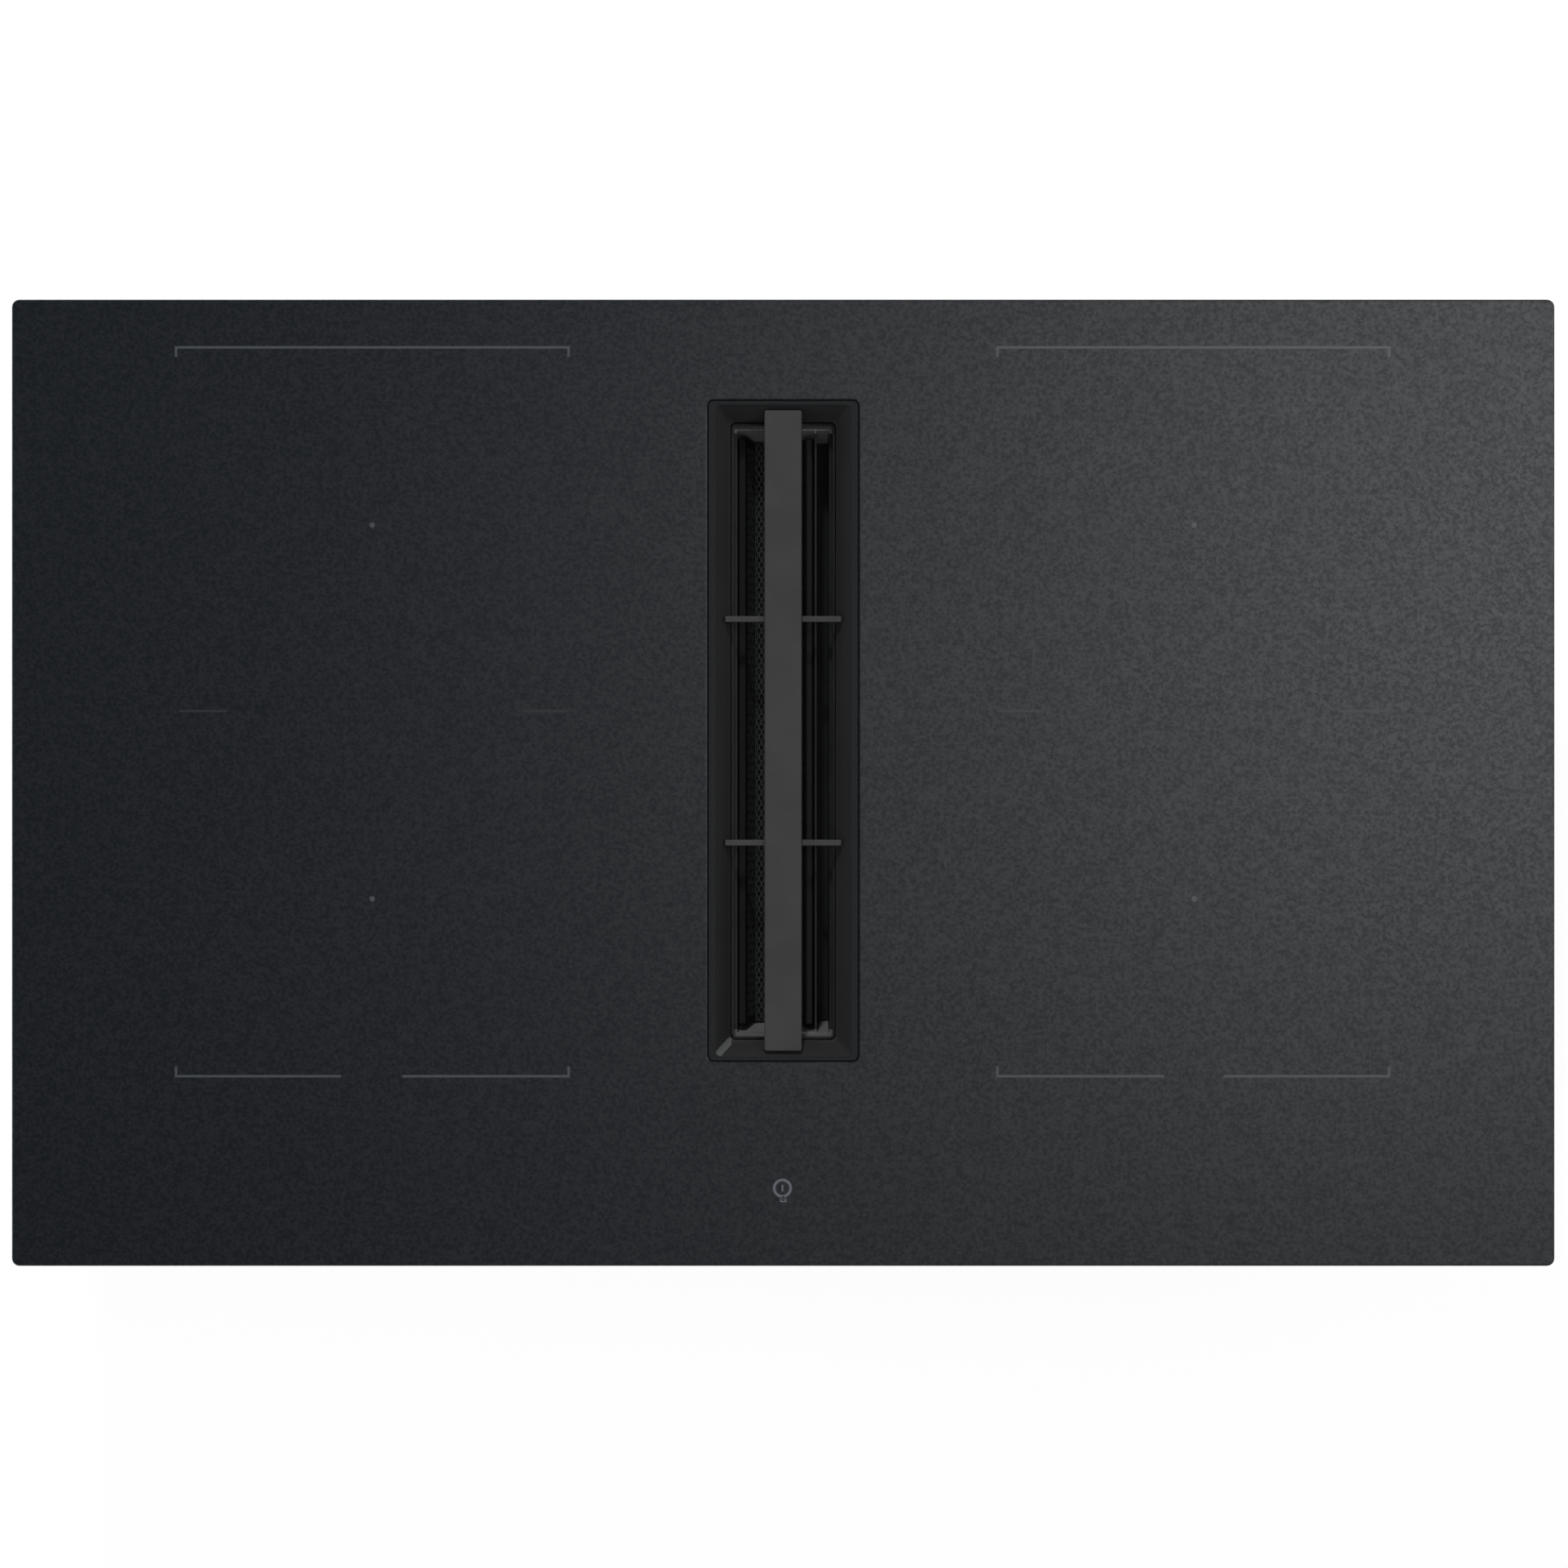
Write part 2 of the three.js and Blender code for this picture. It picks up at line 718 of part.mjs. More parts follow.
function ventFrame() {
  const flange = rectangle(ventFlangeWidth, ventFlangeLength, flangeCorner, 0, inletY);
  const upstand = rectangle(ventWidth, ventLength, inletCorner - fitGap, 0, inletY);
  const neckOuter = neckCorner + neckWall;
  const neck = rectangle(neckWidth + 2 * neckWall, neckLength + 2 * neckWall, neckOuter, 0, inletY);
  const ledgeHole = rectangle(ledgeHoleWidth, ledgeHoleLength, 0, 0, inletY);
  const pocketHalf = barWidth / 2 + fitGap;
  const pocketEnd = barLength / 2 + fitGap;
  return cut(
    join([
      raised(flange, ventFlangeBottom, ventFlangeTop),
      raised(upstand, ventFlangeBottom, ventTop),
      raised(neck, neckBottom, ventFlangeTop),
    ]),
    [
      raised(rectangle(neckWidth, neckLength, neckCorner, 0, inletY), ledgeTop, neckTop + fitGap),
      raised(ledgeHole, neckBottom - overcut, ledgeTop + overcut),
      funnel(),
      block(
        -pocketHalf, pocketHalf, inletY - pocketEnd, inletY + pocketEnd,
        barBottom - fitGap, ventTop + overcut,
      ),
    ],
  );
}

function ventGasket() {
  const width = ventFlangeWidth - 2 * gasketInset;
  const length = ventFlangeLength - 2 * gasketInset;
  const outline = rectangle(width, length, flangeCorner - gasketInset, 0, inletY);
  outline.holes.push(rectangle(inletWidth + gasketInset, inletLength + gasketInset, inletCorner, 0, inletY));
  return raised(outline, ventFlangeTop, glassBottom);
}

function rodPlaces() {
  return [
    { name: 'front', y: inletY - rodSpacing / 2 },
    { name: 'rear', y: inletY + rodSpacing / 2 },
  ];
}

function grilleBar() {
  const outline = rectangle(barWidth, barLength, barCorner, 0, inletY);
  const bar = raisedWithEdges(outline, barBottom, glassTop, barEdge);
  const notches = rodPlaces().map(({ y }) => block(
    -barWidth, barWidth, y - rodSize / 2 - fitGap, y + rodSize / 2 + fitGap,
    barBottom - overcut, rodBottom + rodSize + fitGap,
  ));
  return cut(bar, notches);
}

function grilleRod() {
  const half = slopeHalfWidth(rodBottom) - fitGap;
  return block(-half, half, -rodSize / 2, rodSize / 2, 0, rodSize);
}

function addInlet(group) {
  addPiece(group, 'vent_frame', ventFrame(), blackPlastic);
  addPiece(group, 'vent_gasket', ventGasket(), rubber);
  addPiece(group, 'grille_bar', grilleBar(), darkGrille);
  for (const { name, y } of rodPlaces()) {
    addPiece(group, `grille_rod_${name}`, grilleRod(), darkGrille, 0, y, rodBottom);
  }
}

// ---------------------------------------------------------------- grease filter cassette

const collarWidth = neckWidth - 2 * slideGap;
const collarLength = neckLength - 2 * slideGap;
const collarBottom = ledgeTop + fitGap;
const collarTop = collarBottom + collarHeight;
const cassetteWidth = ledgeHoleWidth - 2 * slideGap;
const cassetteLength = ledgeHoleLength - 2 * slideGap;
const cassetteFoot = collarBottom - cassetteDepth;
const troughBottom = cassetteFoot + troughRise;
const troughFloor = troughBottom + cassetteSheet;
const channelLeft = cassetteWidth / 2 - channelWidth;
const endInner = collarLength / 2 - cassetteSheet - endLean; // end walls' inner faces, from the middle
const leanBottom = collarTop - endLeanDrop;
const channelFloor = collarBottom + cassetteSheet - channelDepth;
const panelSpan = 2 * (endInner - fitGap);

// An end wall leans in from the collar's rim, and then hangs straight down to its foot.
function cassetteEnd(sign) {
  const at = (distance, height) => [inletY + sign * distance, height];
  const wall = alongX(polygon([
    at(collarLength / 2 - cassetteSheet, collarTop), at(collarLength / 2 - weld, collarTop),
    at(collarLength / 2 - weld, collarBottom), at(cassetteLength / 2, collarBottom),
    at(endInner + cassetteSheet, leanBottom), at(endInner + cassetteSheet, cassetteFoot),
    at(endInner, cassetteFoot), at(endInner, leanBottom),
  ]), -collarWidth / 2 + cassetteSheet - weld, collarWidth / 2 - cassetteSheet + weld);
  const half = cassetteWidth / 2;
  const under = cassetteFoot - overcut;
  const edges = [
    [[-half, collarBottom], [-collarWidth, collarBottom], [-collarWidth, under], [-footWidth / 2, under],
      [-footWidth / 2, cassetteFoot]],
    [[half, collarBottom], [half, channelFloor], [footWidth / 2, cassetteFoot], [footWidth / 2, under],
      [collarWidth, under], [collarWidth, collarBottom]],
  ];
  const near = inletY + sign * (endInner - overcut);
  const far = inletY + sign * (collarLength / 2 + overcut);
  return cut(wall, edges.map((edge) => alongY(polygon(edge), Math.min(near, far), Math.max(near, far))));
}

// What the end walls leave free outside them, under the collar.
function outsideEnd(sign) {
  const at = (distance, height) => [inletY + sign * distance, height];
  return alongX(polygon([
    at(cassetteLength / 2 + overcut, collarBottom), at(cassetteLength / 2, collarBottom),
    at(endInner + cassetteSheet, leanBottom), at(endInner + cassetteSheet, cassetteFoot - overcut),
    at(cassetteLength / 2 + overcut, cassetteFoot - overcut),
  ]), -collarWidth, collarWidth);
}

function cassetteFrame() {
  const halfWidth = cassetteWidth / 2;
  const stepTop = collarBottom + cassetteSheet;
  const step = rectangle(collarWidth, collarLength, neckCorner, 0, inletY);
  const stepHoleWidth = cassetteWidth - 2 * cassetteSheet;
  step.holes.push(rectangle(stepHoleWidth, cassetteLength - 2 * cassetteSheet, 0, 0, inletY));
  const front = inletY - cassetteLength / 2;
  const back = inletY + cassetteLength / 2;
  const tabFront = inletY - endInner - cassetteSheet / 2;
  const tabBack = inletY + endInner + cassetteSheet / 2;
  const tabHalf = troughHalfWidth - cassetteSheet;
  const tabTop = troughBottom - fitGap;
  const channel = cut(
    join([
      block(channelLeft, channelLeft + cassetteSheet, front, back, channelFloor, stepTop),
      block(channelLeft, halfWidth, front, back, channelFloor, channelFloor + cassetteSheet),
      block(halfWidth - cassetteSheet, halfWidth, front, back, channelFloor, stepTop),
    ]),
    [outsideEnd(-1), outsideEnd(1)],
  );
  return join([
    tube(collarWidth, collarLength, neckCorner, cassetteSheet, collarBottom, collarTop, 0, inletY),
    raised(step, collarBottom, stepTop),
    cassetteEnd(-1),
    cassetteEnd(1),
    channel,
    block(-tabHalf, tabHalf, tabFront, tabFront + tabLength, tabTop - cassetteSheet, tabTop),
    block(-tabHalf, tabHalf, tabBack - tabLength, tabBack, tabTop - cassetteSheet, tabTop),
  ]);
}

// A flat panel that leans from its foot beside the trough to its head under the collar.
function meshPanel(headX, headZ, footX) {
  const footZ = troughFloor + fitGap + meshThickness / 4;
  const lean = new THREE.Vector2(headX - footX, headZ - footZ).normalize();
  const acrossX = -lean.y * meshThickness / 2;
  const acrossZ = lean.x * meshThickness / 2;
  const outline = polygon([
    [footX + acrossX, footZ + acrossZ], [headX + acrossX, headZ + acrossZ],
    [headX - acrossX, headZ - acrossZ], [footX - acrossX, footZ - acrossZ],
  ]);
  return alongY(outline, inletY - panelSpan / 2, inletY + panelSpan / 2);
}

function dripTrough() {
  const outline = polygon([
    [-troughHalfWidth, troughBottom], [troughHalfWidth, troughBottom],
    [troughHalfWidth, troughBottom + troughHeight],
    [troughHalfWidth - cassetteSheet, troughBottom + troughHeight],
    [troughHalfWidth - cassetteSheet, troughFloor], [-troughHalfWidth + cassetteSheet, troughFloor],
    [-troughHalfWidth + cassetteSheet, troughBottom + troughHeight],
    [-troughHalfWidth, troughBottom + troughHeight],
  ]);
  return alongY(outline, inletY - panelSpan / 2, inletY + panelSpan / 2);
}

function addCassette(group) {
  const headZ = collarBottom - meshThickness / 2;
  const leftHead = -cassetteWidth / 2 + cassetteSheet + meshThickness / 2 + fitGap;
  const rightHead = channelLeft - meshThickness / 2 - 2 * fitGap;
  addPiece(group, 'cassette_frame', cassetteFrame(), filterMetal);
  addPiece(group, 'filter_mesh_left', meshPanel(leftHead, headZ, -meshSpread), filterMetal);
  addPiece(group, 'filter_mesh_right', meshPanel(rightHead, headZ, meshSpread), filterMetal);
  addPiece(group, 'drip_trough', dripTrough(), filterMetal);
}

// ---------------------------------------------------------------- induction unit

function airWell() {
  const footTop = panFloor + fitGap + wellWall;
  const foot = tube(
    wellWidth + 2 * wellFoot, wellLength + 2 * wellFoot, wellCorner, wellFoot + wellWall,
    panFloor + fitGap, footTop, 0, inletY,
  );
  return join([tube(wellWidth, wellLength, wellCorner, wellWall, wellBottom, wellTop, 0, inletY), foot]);
}

function coil() {
  const outline = rectangle(coilWidth, coilDepth, coilCorner);
  outline.holes.push(rectangle(coilEyeWidth, coilEyeDepth, coilEyeCorner));
  const grooves = [];
  for (let i = 1; i <= coilGrooves; i++) {
    const share = i / (coilGrooves + 1);
    const width = coilEyeWidth + share * (coilWidth - coilEyeWidth);
    const depth = coilEyeDepth + share * (coilDepth - coilEyeDepth);
    const corner = coilEyeCorner + share * (coilCorner - coilEyeCorner);
    const floor = coilThickness - grooveDepth;
    grooves.push(tube(width, depth, corner, grooveWidth, floor, coilThickness + overcut));
  }
  return cut(raised(outline, 0, coilThickness), grooves);
}

function coilFormer() {
  const width = coilWidth + 2 * formerMargin;
  const outline = rectangle(width, coilDepth + 2 * formerMargin, coilCorner + formerMargin);
  outline.holes.push(new THREE.Path().absarc(0, 0, formerEye, 0, 2 * Math.PI));
  return raised(outline, 0, formerThickness);
}

// A flat sheet under two coils, on four legs with bent feet.
function coilCarrier() {
  const half = coilWidth / 2 + formerMargin + carrierMargin;
  const front = zoneFrontY - coilDepth / 2 - formerMargin - carrierMargin / 2;
  const back = zoneRearY + coilDepth / 2 + formerMargin + carrierMargin / 2;
  const sheet = block(-half, half, front, back, carrierBottom, carrierTop);
  const legs = [];
  for (const sign of [-1, 1]) {
    for (const y of [front + legInset + legWidth / 2, back - legInset - legWidth / 2]) {
      const outer = sign * half;
      const inner = sign * (half - carrierSheet);
      const toe = sign * (half - legFoot);
      const [left, right] = [Math.min(outer, inner), Math.max(outer, inner)];
      const [toeLeft, toeRight] = [Math.min(outer, toe), Math.max(outer, toe)];
      const sole = panFloor + fitGap;
      legs.push(block(left, right, y - legWidth / 2, y + legWidth / 2, sole, carrierTop));
      legs.push(block(toeLeft, toeRight, y - legWidth / 2, y + legWidth / 2, sole, sole + carrierSheet));
    }
  }
  return join([sheet, ...legs]);
}

function powerBoard(sign) {
  const board = block(
    -powerBoardWidth / 2, powerBoardWidth / 2, -powerBoardDepth / 2, powerBoardDepth / 2, 0, boardThickness,
  );
  const capacitors = [-1, 0, 1].map((step) => disc(
    capacitorRadius, boardThickness / 2, boardThickness + capacitorHeight,
    -sign * sinkOffset, step * capacitorPitch,
  ));
  return join([board, ...capacitors]);
}

function heatSink() {
  const base = block(-sinkWidth / 2, sinkWidth / 2, -sinkDepth / 2, sinkDepth / 2, 0, sinkBase);
  const fins = [];
  for (let i = 0; i < sinkFins; i++) {
    const left = -sinkWidth / 2 + i * (sinkWidth - finThickness) / (sinkFins - 1);
    fins.push(block(left, left + finThickness, -sinkDepth / 2, sinkDepth / 2, sinkBase / 2, sinkHeight));
  }
  return join([base, ...fins]);
}

function filterBoard() {
  const board = block(
    -filterBoardWidth / 2, filterBoardWidth / 2, -filterBoardDepth / 2, filterBoardDepth / 2,
    0, boardThickness,
  );
  const chokeX = filterBoardWidth / 4;
  const chokeTop = boardThickness + chokeHeight;
  return cut(
    join([
      board,
      disc(chokeRadius, boardThickness / 2, chokeTop, -chokeX, 0, mediumRound),
      disc(capacitorRadius, boardThickness / 2, boardThickness + capacitorHeight, chokeX, 0),
    ]),
    [disc(chokeBore, boardThickness, chokeTop + overcut, -chokeX, 0)],
  );
}

function fanHousing() {
  const half = fanSize / 2;
  const frame = cut(block(-half, half, -half, half, 0, fanHeight), [
    disc(fanBore, -overcut, fanHeight + overcut, 0, 0, largeRound),
    ...[[-1, -1], [-1, 1], [1, -1], [1, 1]].map(([sx, sy]) => disc(
      fanScrewHole, -overcut, fanHeight + overcut,
      sx * (half - 2 * fanScrewHole), sy * (half - 2 * fanScrewHole), hexagon,
    )),
  ]);
  const reach = fanBore + fitGap;
  return join([
    frame,
    disc(fanHub, 0, fanPlate, 0, 0, mediumRound),
    block(-reach, reach, -fanStrut / 2, fanStrut / 2, 0, fanPlate),
    block(-fanStrut / 2, fanStrut / 2, -reach, reach, 0, fanPlate),
    disc(fanPin, fanPlate / 2, fanHeight - 2 * fanPlate),
  ]);
}

function fanRotor() {
  const bottom = fanPlate + fitGap;
  const top = fanHeight - fanPlate / 2;
  const wall = fanPlate / 2;
  const crown = top - fanPlate;
  const hub = turned([
    [fanPin + fitGap, bottom], [fanPin + fitGap + wall, bottom], [fanPin + fitGap + wall, crown],
    [fanHub - wall, crown], [fanHub - wall, bottom], [fanHub, bottom], [fanHub, top], [0, top],
    [0, crown], [fanPin + fitGap, crown],
  ], mediumRound);
  const reach = fanBore - fanTipGap;
  const root = fanHub - wall / 2;
  const blades = [];
  for (let i = 0; i < fanBlades; i++) {
    const blade = new THREE.BoxGeometry(reach - root, fanBladeWidth, fanBladeThickness);
    blade.rotateX(fanBladePitch).translate((reach + root) / 2, 0, (bottom + top) / 2);
    blades.push(solidOf(blade.rotateZ(i * 2 * Math.PI / fanBlades)));
  }
  return join([hub, ...blades]);
}

function addInduction(group) {
  addPiece(group, 'air_well', airWell(), zincSteel);
  for (const { name, sign } of sides) {
    const x = sign * zoneX;
    addPiece(group, `coil_carrier_${name}`, coilCarrier(), aluminium, x);
    addPiece(group, `power_board_${name}`, powerBoard(sign), boardGreen, x, powerBoardY, boardBottom);
    const sinkX = x + sign * sinkOffset;
    addPiece(group, `heat_sink_${name}`, heatSink(), aluminium, sinkX, powerBoardY, boardTop + fitGap);
    addPiece(group, `fan_housing_${name}`, fanHousing(), blackPlastic, sign * fanX, fanY, fanBottom);
    addPiece(group, `fan_rotor_${name}`, fanRotor(), blackPlastic, sign * fanX, fanY, fanBottom);
  }
  for (const { name, x, y } of zones) {
    addPiece(group, `coil_former_${name}`, coilFormer(), ferrite, x, y, formerBottom);
    addPiece(group, `coil_${name}`, coil(), copper, x, y, coilBottom);
  }
  addPiece(group, 'mains_filter_board', filterBoard(), boardGreen, zoneX, filterBoardY, boardBottom);
}

// ---------------------------------------------------------------- touch control

const touchY = -(bodyDepth / 2 - frameFlange - touchFrameGap - touchDepth / 2);
const touchRim = glassBottom - fitGap;
const touchBoardTop = touchRim - 2 * boardThickness;
const touchBoardBottom = touchBoardTop - boardThickness;

function touchCarrier() {
  const shelf = touchBoardBottom - fitGap;
  const halfWidth = touchWidth / 2 - touchLegInset;
  const tray = join([
    tube(touchWidth, touchDepth, 0, touchWall, shelf - touchFloor, touchRim, 0, touchY),
    raised(rectangle(touchWidth, touchDepth, 0, 0, touchY), shelf - touchFloor, shelf),
  ]);
  const legs = [-halfWidth, halfWidth].map((x) =>
    disc(touchLegRadius, panFloor + fitGap, shelf - touchFloor / 2, x, touchY));
  return join([tray, ...legs]);
}

function touchBoard() {
  const width = touchWidth - 2 * (touchWall + slideGap);
  const depth = touchDepth - 2 * (touchWall + slideGap);
  const board = block(
    -width / 2, width / 2, touchY - depth / 2, touchY + depth / 2, touchBoardBottom, touchBoardTop,
  );
  const pads = [];
  for (let i = 0; i < touchPads; i++) {
    const x = (i - (touchPads - 1) / 2) * touchPadPitch;
    pads.push(disc(touchPadRadius, touchBoardBottom + boardThickness / 2, touchRim, x, touchPadY));
  }
  return join([board, ...pads]);
}

function addTouch(group) {
  addPiece(group, 'touch_carrier', touchCarrier(), greyPlastic);
  addPiece(group, 'touch_board', touchBoard(), boardGreen);
}

// ---------------------------------------------------------------- mains connection

const rearFace = panDepth / 2;
const coverHalf = terminalWidth / 2 + coverMargin;
const coverHingeY = rearFace + fitGap + coverHingeRadius;
const coverHingeZ = panFloor + windowRise + windowHeight + coverMargin;

function terminalBlock() {
  const back = rearFace - bodySheet - fitGap;
  const bottom = panFloor + fitGap;
  const body = block(
    terminalX - terminalWidth / 2, terminalX + terminalWidth / 2,
    back - terminalDepth, back, bottom, bottom + terminalHeight,
  );
  const screws = [-1, 0, 1].map((step) => disc(
    terminalScrew, bottom + terminalHeight / 2, bottom + terminalHeight + overcut,
    terminalX + step * terminalScrewPitch, back - terminalDepth / 2, hexagon,
  ));
  return cut(body, screws);
}

// The cover hangs from a rod along its upper edge; its place is the rod's middle.
function terminalCover() {
  const pinHalf = coverHalf + fitGap + earThickness;
  const drop = windowHeight + 2 * coverMargin;
  return join([
    discAlongX(coverPinRadius, -pinHalf, pinHalf, 0, 0, pinRound),
    discAlongX(coverHingeRadius, -coverHalf, coverHalf, 0, 0),
    block(-coverHalf, coverHalf, -coverHingeRadius, -coverHingeRadius + terminalSheet, -drop, 0),
  ]);
}

function cableGland() {
  const nutBack = rearFace + fitGap + glandNutThickness;
  const z = panFloor + glandRise;
  const shank = discAlongY(glandHole, rearFace - bodySheet - glandNutThickness, nutBack, glandX, z);
  const nut = discAlongY(glandNut, rearFace + fitGap, nutBack, glandX, z, hexagon);
  const dome = discAlongY(glandDome, nutBack - overcut, nutBack + glandLength - glandNutThickness, glandX, z);
  const bore = discAlongY(
    glandBore, rearFace - bodySheet - glandNutThickness - overcut,
    nutBack + glandLength, glandX, z,
  );
  return cut(join([shank, nut, dome]), [bore]);
}

function addMains(group) {
  addPiece(group, 'terminal_block', terminalBlock(), greyPlastic);
  addPiece(group, 'terminal_cover', terminalCover(), zincSteel, terminalX, coverHingeY, coverHingeZ);
  addPiece(group, 'cable_gland', cableGland(), blackPlastic);
}

// ---------------------------------------------------------------- worktop clamps

const clampBottom = panBottom + clampRise;

// The arm turns on its screw; its place is the screw's axis at the arm's underside.
function clampArm() {
  const half = clampWidth / 2;
  const padTop = clampThickness + clampPadHeight;
  return cut(
    join([
      disc(half, 0, clampThickness, 0, 0, mediumRound),
      block(0, clampReach, -half, half, 0, clampThickness),
      block(clampReach - clampPadLength, clampReach, -half, half, clampThickness / 2, padTop),
    ]),
    [disc(clampScrew + fitGap, -overcut, clampThickness + overcut)],
  );
}

function clampScrewSolid() {
  const lugTop = skirtBottom - lugDrop;
  return join([
    disc(clampScrewHead, -fitGap - clampHeadHeight, -fitGap, 0, 0, hexagon),
    disc(clampScrew, -fitGap - clampHeadHeight / 2, lugTop + lugThickness - clampBottom),
  ]);
}

function addClamps(group) {
  for (const { name, sign, x, y } of clampPlaces()) {
    const arm = addPiece(group, `clamp_${name}`, clampArm(), zincSteel, x, y, clampBottom);
    arm.rotation.z = sign > 0 ? 0 : Math.PI;
    addPiece(group, `clamp_screw_${name}`, clampScrewSolid(), zincSteel, x, y, clampBottom);
  }
}

// ---------------------------------------------------------------- extractor casing

// The scroll wall moves away from the wheel at a steady rate from the tongue to the outlet.
function scrollRadius(angle) {
  const share = (angle - tongueAngle) / (2 * Math.PI - tongueAngle);
  return wheelRadius + tongueGap + share * scrollGrowth;
}

function scrollSpiral(extra) {
  const points = [];
  for (let step = 0; step <= scrollSteps; step++) {
    const angle = tongueAngle + (2 * Math.PI - tongueAngle) * step / scrollSteps;
    points.push(polar(scrollRadius(angle) + extra, angle, scrollX, scrollY));
  }
  return points;
}

function scrollCavity() {
  return polygon([
    ...scrollSpiral(0), [outletRight, outletFaceY + overcut],
    [outletLeft, outletFaceY + overcut], [outletLeft, outletFaceY],
  ]);
}

// Scroll and outlet together, as far as extra outside their air space.
function scrollBody(extra, bottom, top) {
  const tongue = polar(scrollRadius(tongueAngle) - extra, tongueAngle, scrollX, scrollY);
  const outlet = polygon([
    [outletRight + extra, scrollY], [outletRight + extra, outletFaceY],
    [outletLeft - extra, outletFaceY], tongue,
  ]);
  return join([raised(polygon(scrollSpiral(extra)), bottom, top), raised(outlet, bottom, top)]);
}

function shaftWell(extra, bottom, top) {
  const corner = wellCorner + wellJointGap + extra;
  return raised(
    rectangle(shaftWellWidth + 2 * extra, shaftWellLength + 2 * extra, corner, 0, inletY), bottom, top,
  );
}

function scrollHousing() {
  const outline = rectangle(trayLength, trayDepth, trayCorner, trayX, trayY);
  const partition = raised(outline, partitionBottom, partitionTop);
  return cut(
    join([
      partition,
      scrollBody(housingWall, partitionBottom, housingTop),
      shaftWell(housingWall, partitionBottom, housingTop),
    ]),
    [
      raised(scrollCavity(), partitionTop, housingTop + overcut),
      shaftWell(0, partitionBottom - overcut, housingTop + overcut),
      disc(inletHoleRadius, partitionBottom - overcut, partitionTop + overcut, scrollX, scrollY, largeRound),
    ],
  );
}

function scrollCover() {
  const extra = housingWall + coverOverhang;
  return cut(
    join([scrollBody(extra, coverBottom, coverTop), shaftWell(extra, coverBottom, coverTop)]),
    [shaftWell(0, coverBottom - overcut, coverTop + overcut)],
  );
}

const drawerBottom = trayWall + fitGap;
const drawerTop = drawerBottom + drawerHeight;
const drawerDoorTop = drawerTop + slideGap;

function extractorTray() {
  const inner = rectangle(
    trayLength - 2 * trayWall, trayDepth - 2 * trayWall, trayCorner - trayWall, trayX, trayY,
  );
  const doorHalf = drawerWidth / 2 + slideGap;
  const railBack = trayFront + drawerLength;
  const rails = sides.map(({ sign }) => {
    const near = sign * doorHalf;
    const far = sign * (doorHalf + railWidth);
    return block(
      Math.min(near, far), Math.max(near, far), trayFront + trayWall / 2, railBack,
      trayWall / 2, trayWall + railHeight,
    );
  });
  const hollow = cut(
    raised(rectangle(trayLength, trayDepth, trayCorner, trayX, trayY), 0, trayHeight),
    [raised(inner, trayWall, trayHeight + overcut)],
  );
  return cut(join([hollow, ...rails]), [
    block(-doorHalf, doorHalf, trayFront - overcut, trayFront + trayWall + overcut, trayWall, drawerDoorTop),
  ]);
}

function overflowDrawer() {
  const front = trayFront - fitGap;
  const half = drawerWidth / 2;
  const back = front + drawerLength;
  const box = cut(block(-half, half, front, back, drawerBottom, drawerTop), [
    block(
      -half + drawerWall, half - drawerWall, front + drawerWall, back - drawerWall,
      drawerBottom + drawerWall, drawerTop + overcut,
    ),
  ]);
  const plateHalf = half + drawerFrontMargin;
  const pullTop = drawerDoorTop + drawerFrontMargin;
  return join([
    box,
    block(-plateHalf, plateHalf, front - drawerFrontThickness, front, drawerBottom, pullTop),
    block(
      -drawerPullWidth / 2, drawerPullWidth / 2, front - drawerPullDepth - drawerFrontThickness,
      front - drawerFrontThickness / 2, pullTop - drawerFrontThickness, pullTop,
    ),
  ]);
}

function inletRing() {
  const flangeTop = partitionBottom - fitGap;
  const flangeBottom = flangeTop - inletRingThickness;
  const throatTop = partitionTop + wheelRise - inletRingTopGap;
  const bell = inletHoleRadius - inletBellGap;
  const knee = (bell + inletThroat) / 2;
  const kneeZ = (flangeBottom + throatTop) / 2;
  return turned([
    [bell, flangeBottom], [inletRingRadius, flangeBottom], [inletRingRadius, flangeTop],
    [bell, flangeTop], [knee, kneeZ],
    [inletThroat + inletThroatWall, throatTop], [inletThroat, throatTop],
    [inletThroat, kneeZ], [knee - inletThroatWall, flangeBottom + inletThroatWall],
  ], largeRound);
}

function addCasing(group) {
  addPiece(group, 'scroll_housing', scrollHousing(), blackPlastic);
  addPiece(group, 'scroll_cover', scrollCover(), blackPlastic);
  addPiece(group, 'extractor_tray', extractorTray(), blackPlastic);
  addPiece(group, 'overflow_drawer', overflowDrawer(), greyPlastic);
  addPiece(group, 'inlet_ring', inletRing(), greyPlastic, scrollX, scrollY);
}

// ---------------------------------------------------------------- blower

const wheelBottom = partitionTop + wheelRise;
const wheelTop = housingTop - wheelCoverGap;
const hubFloor = wheelTop - hubDepth;
const hubFloorTop = hubFloor + wheelPlate;
const rotorBottom = hubFloorTop + fitGap;
const rotorRadius = hubRadius - hubWall - fitGap;
const statorTop = coverBottom - fitGap;
const statorFlangeBottom = statorTop - statorFlangeThickness;
const rotorTop = statorFlangeBottom - rotorTopGap;
const bearingBore = shaftRadius + fitGap;
const tubeBore = bearingRadius + fitGap;
const tubeBottom = rotorBottom + rotorWall + 2 * fitGap;
const shaftTop = statorFlangeBottom - 2 * fitGap;

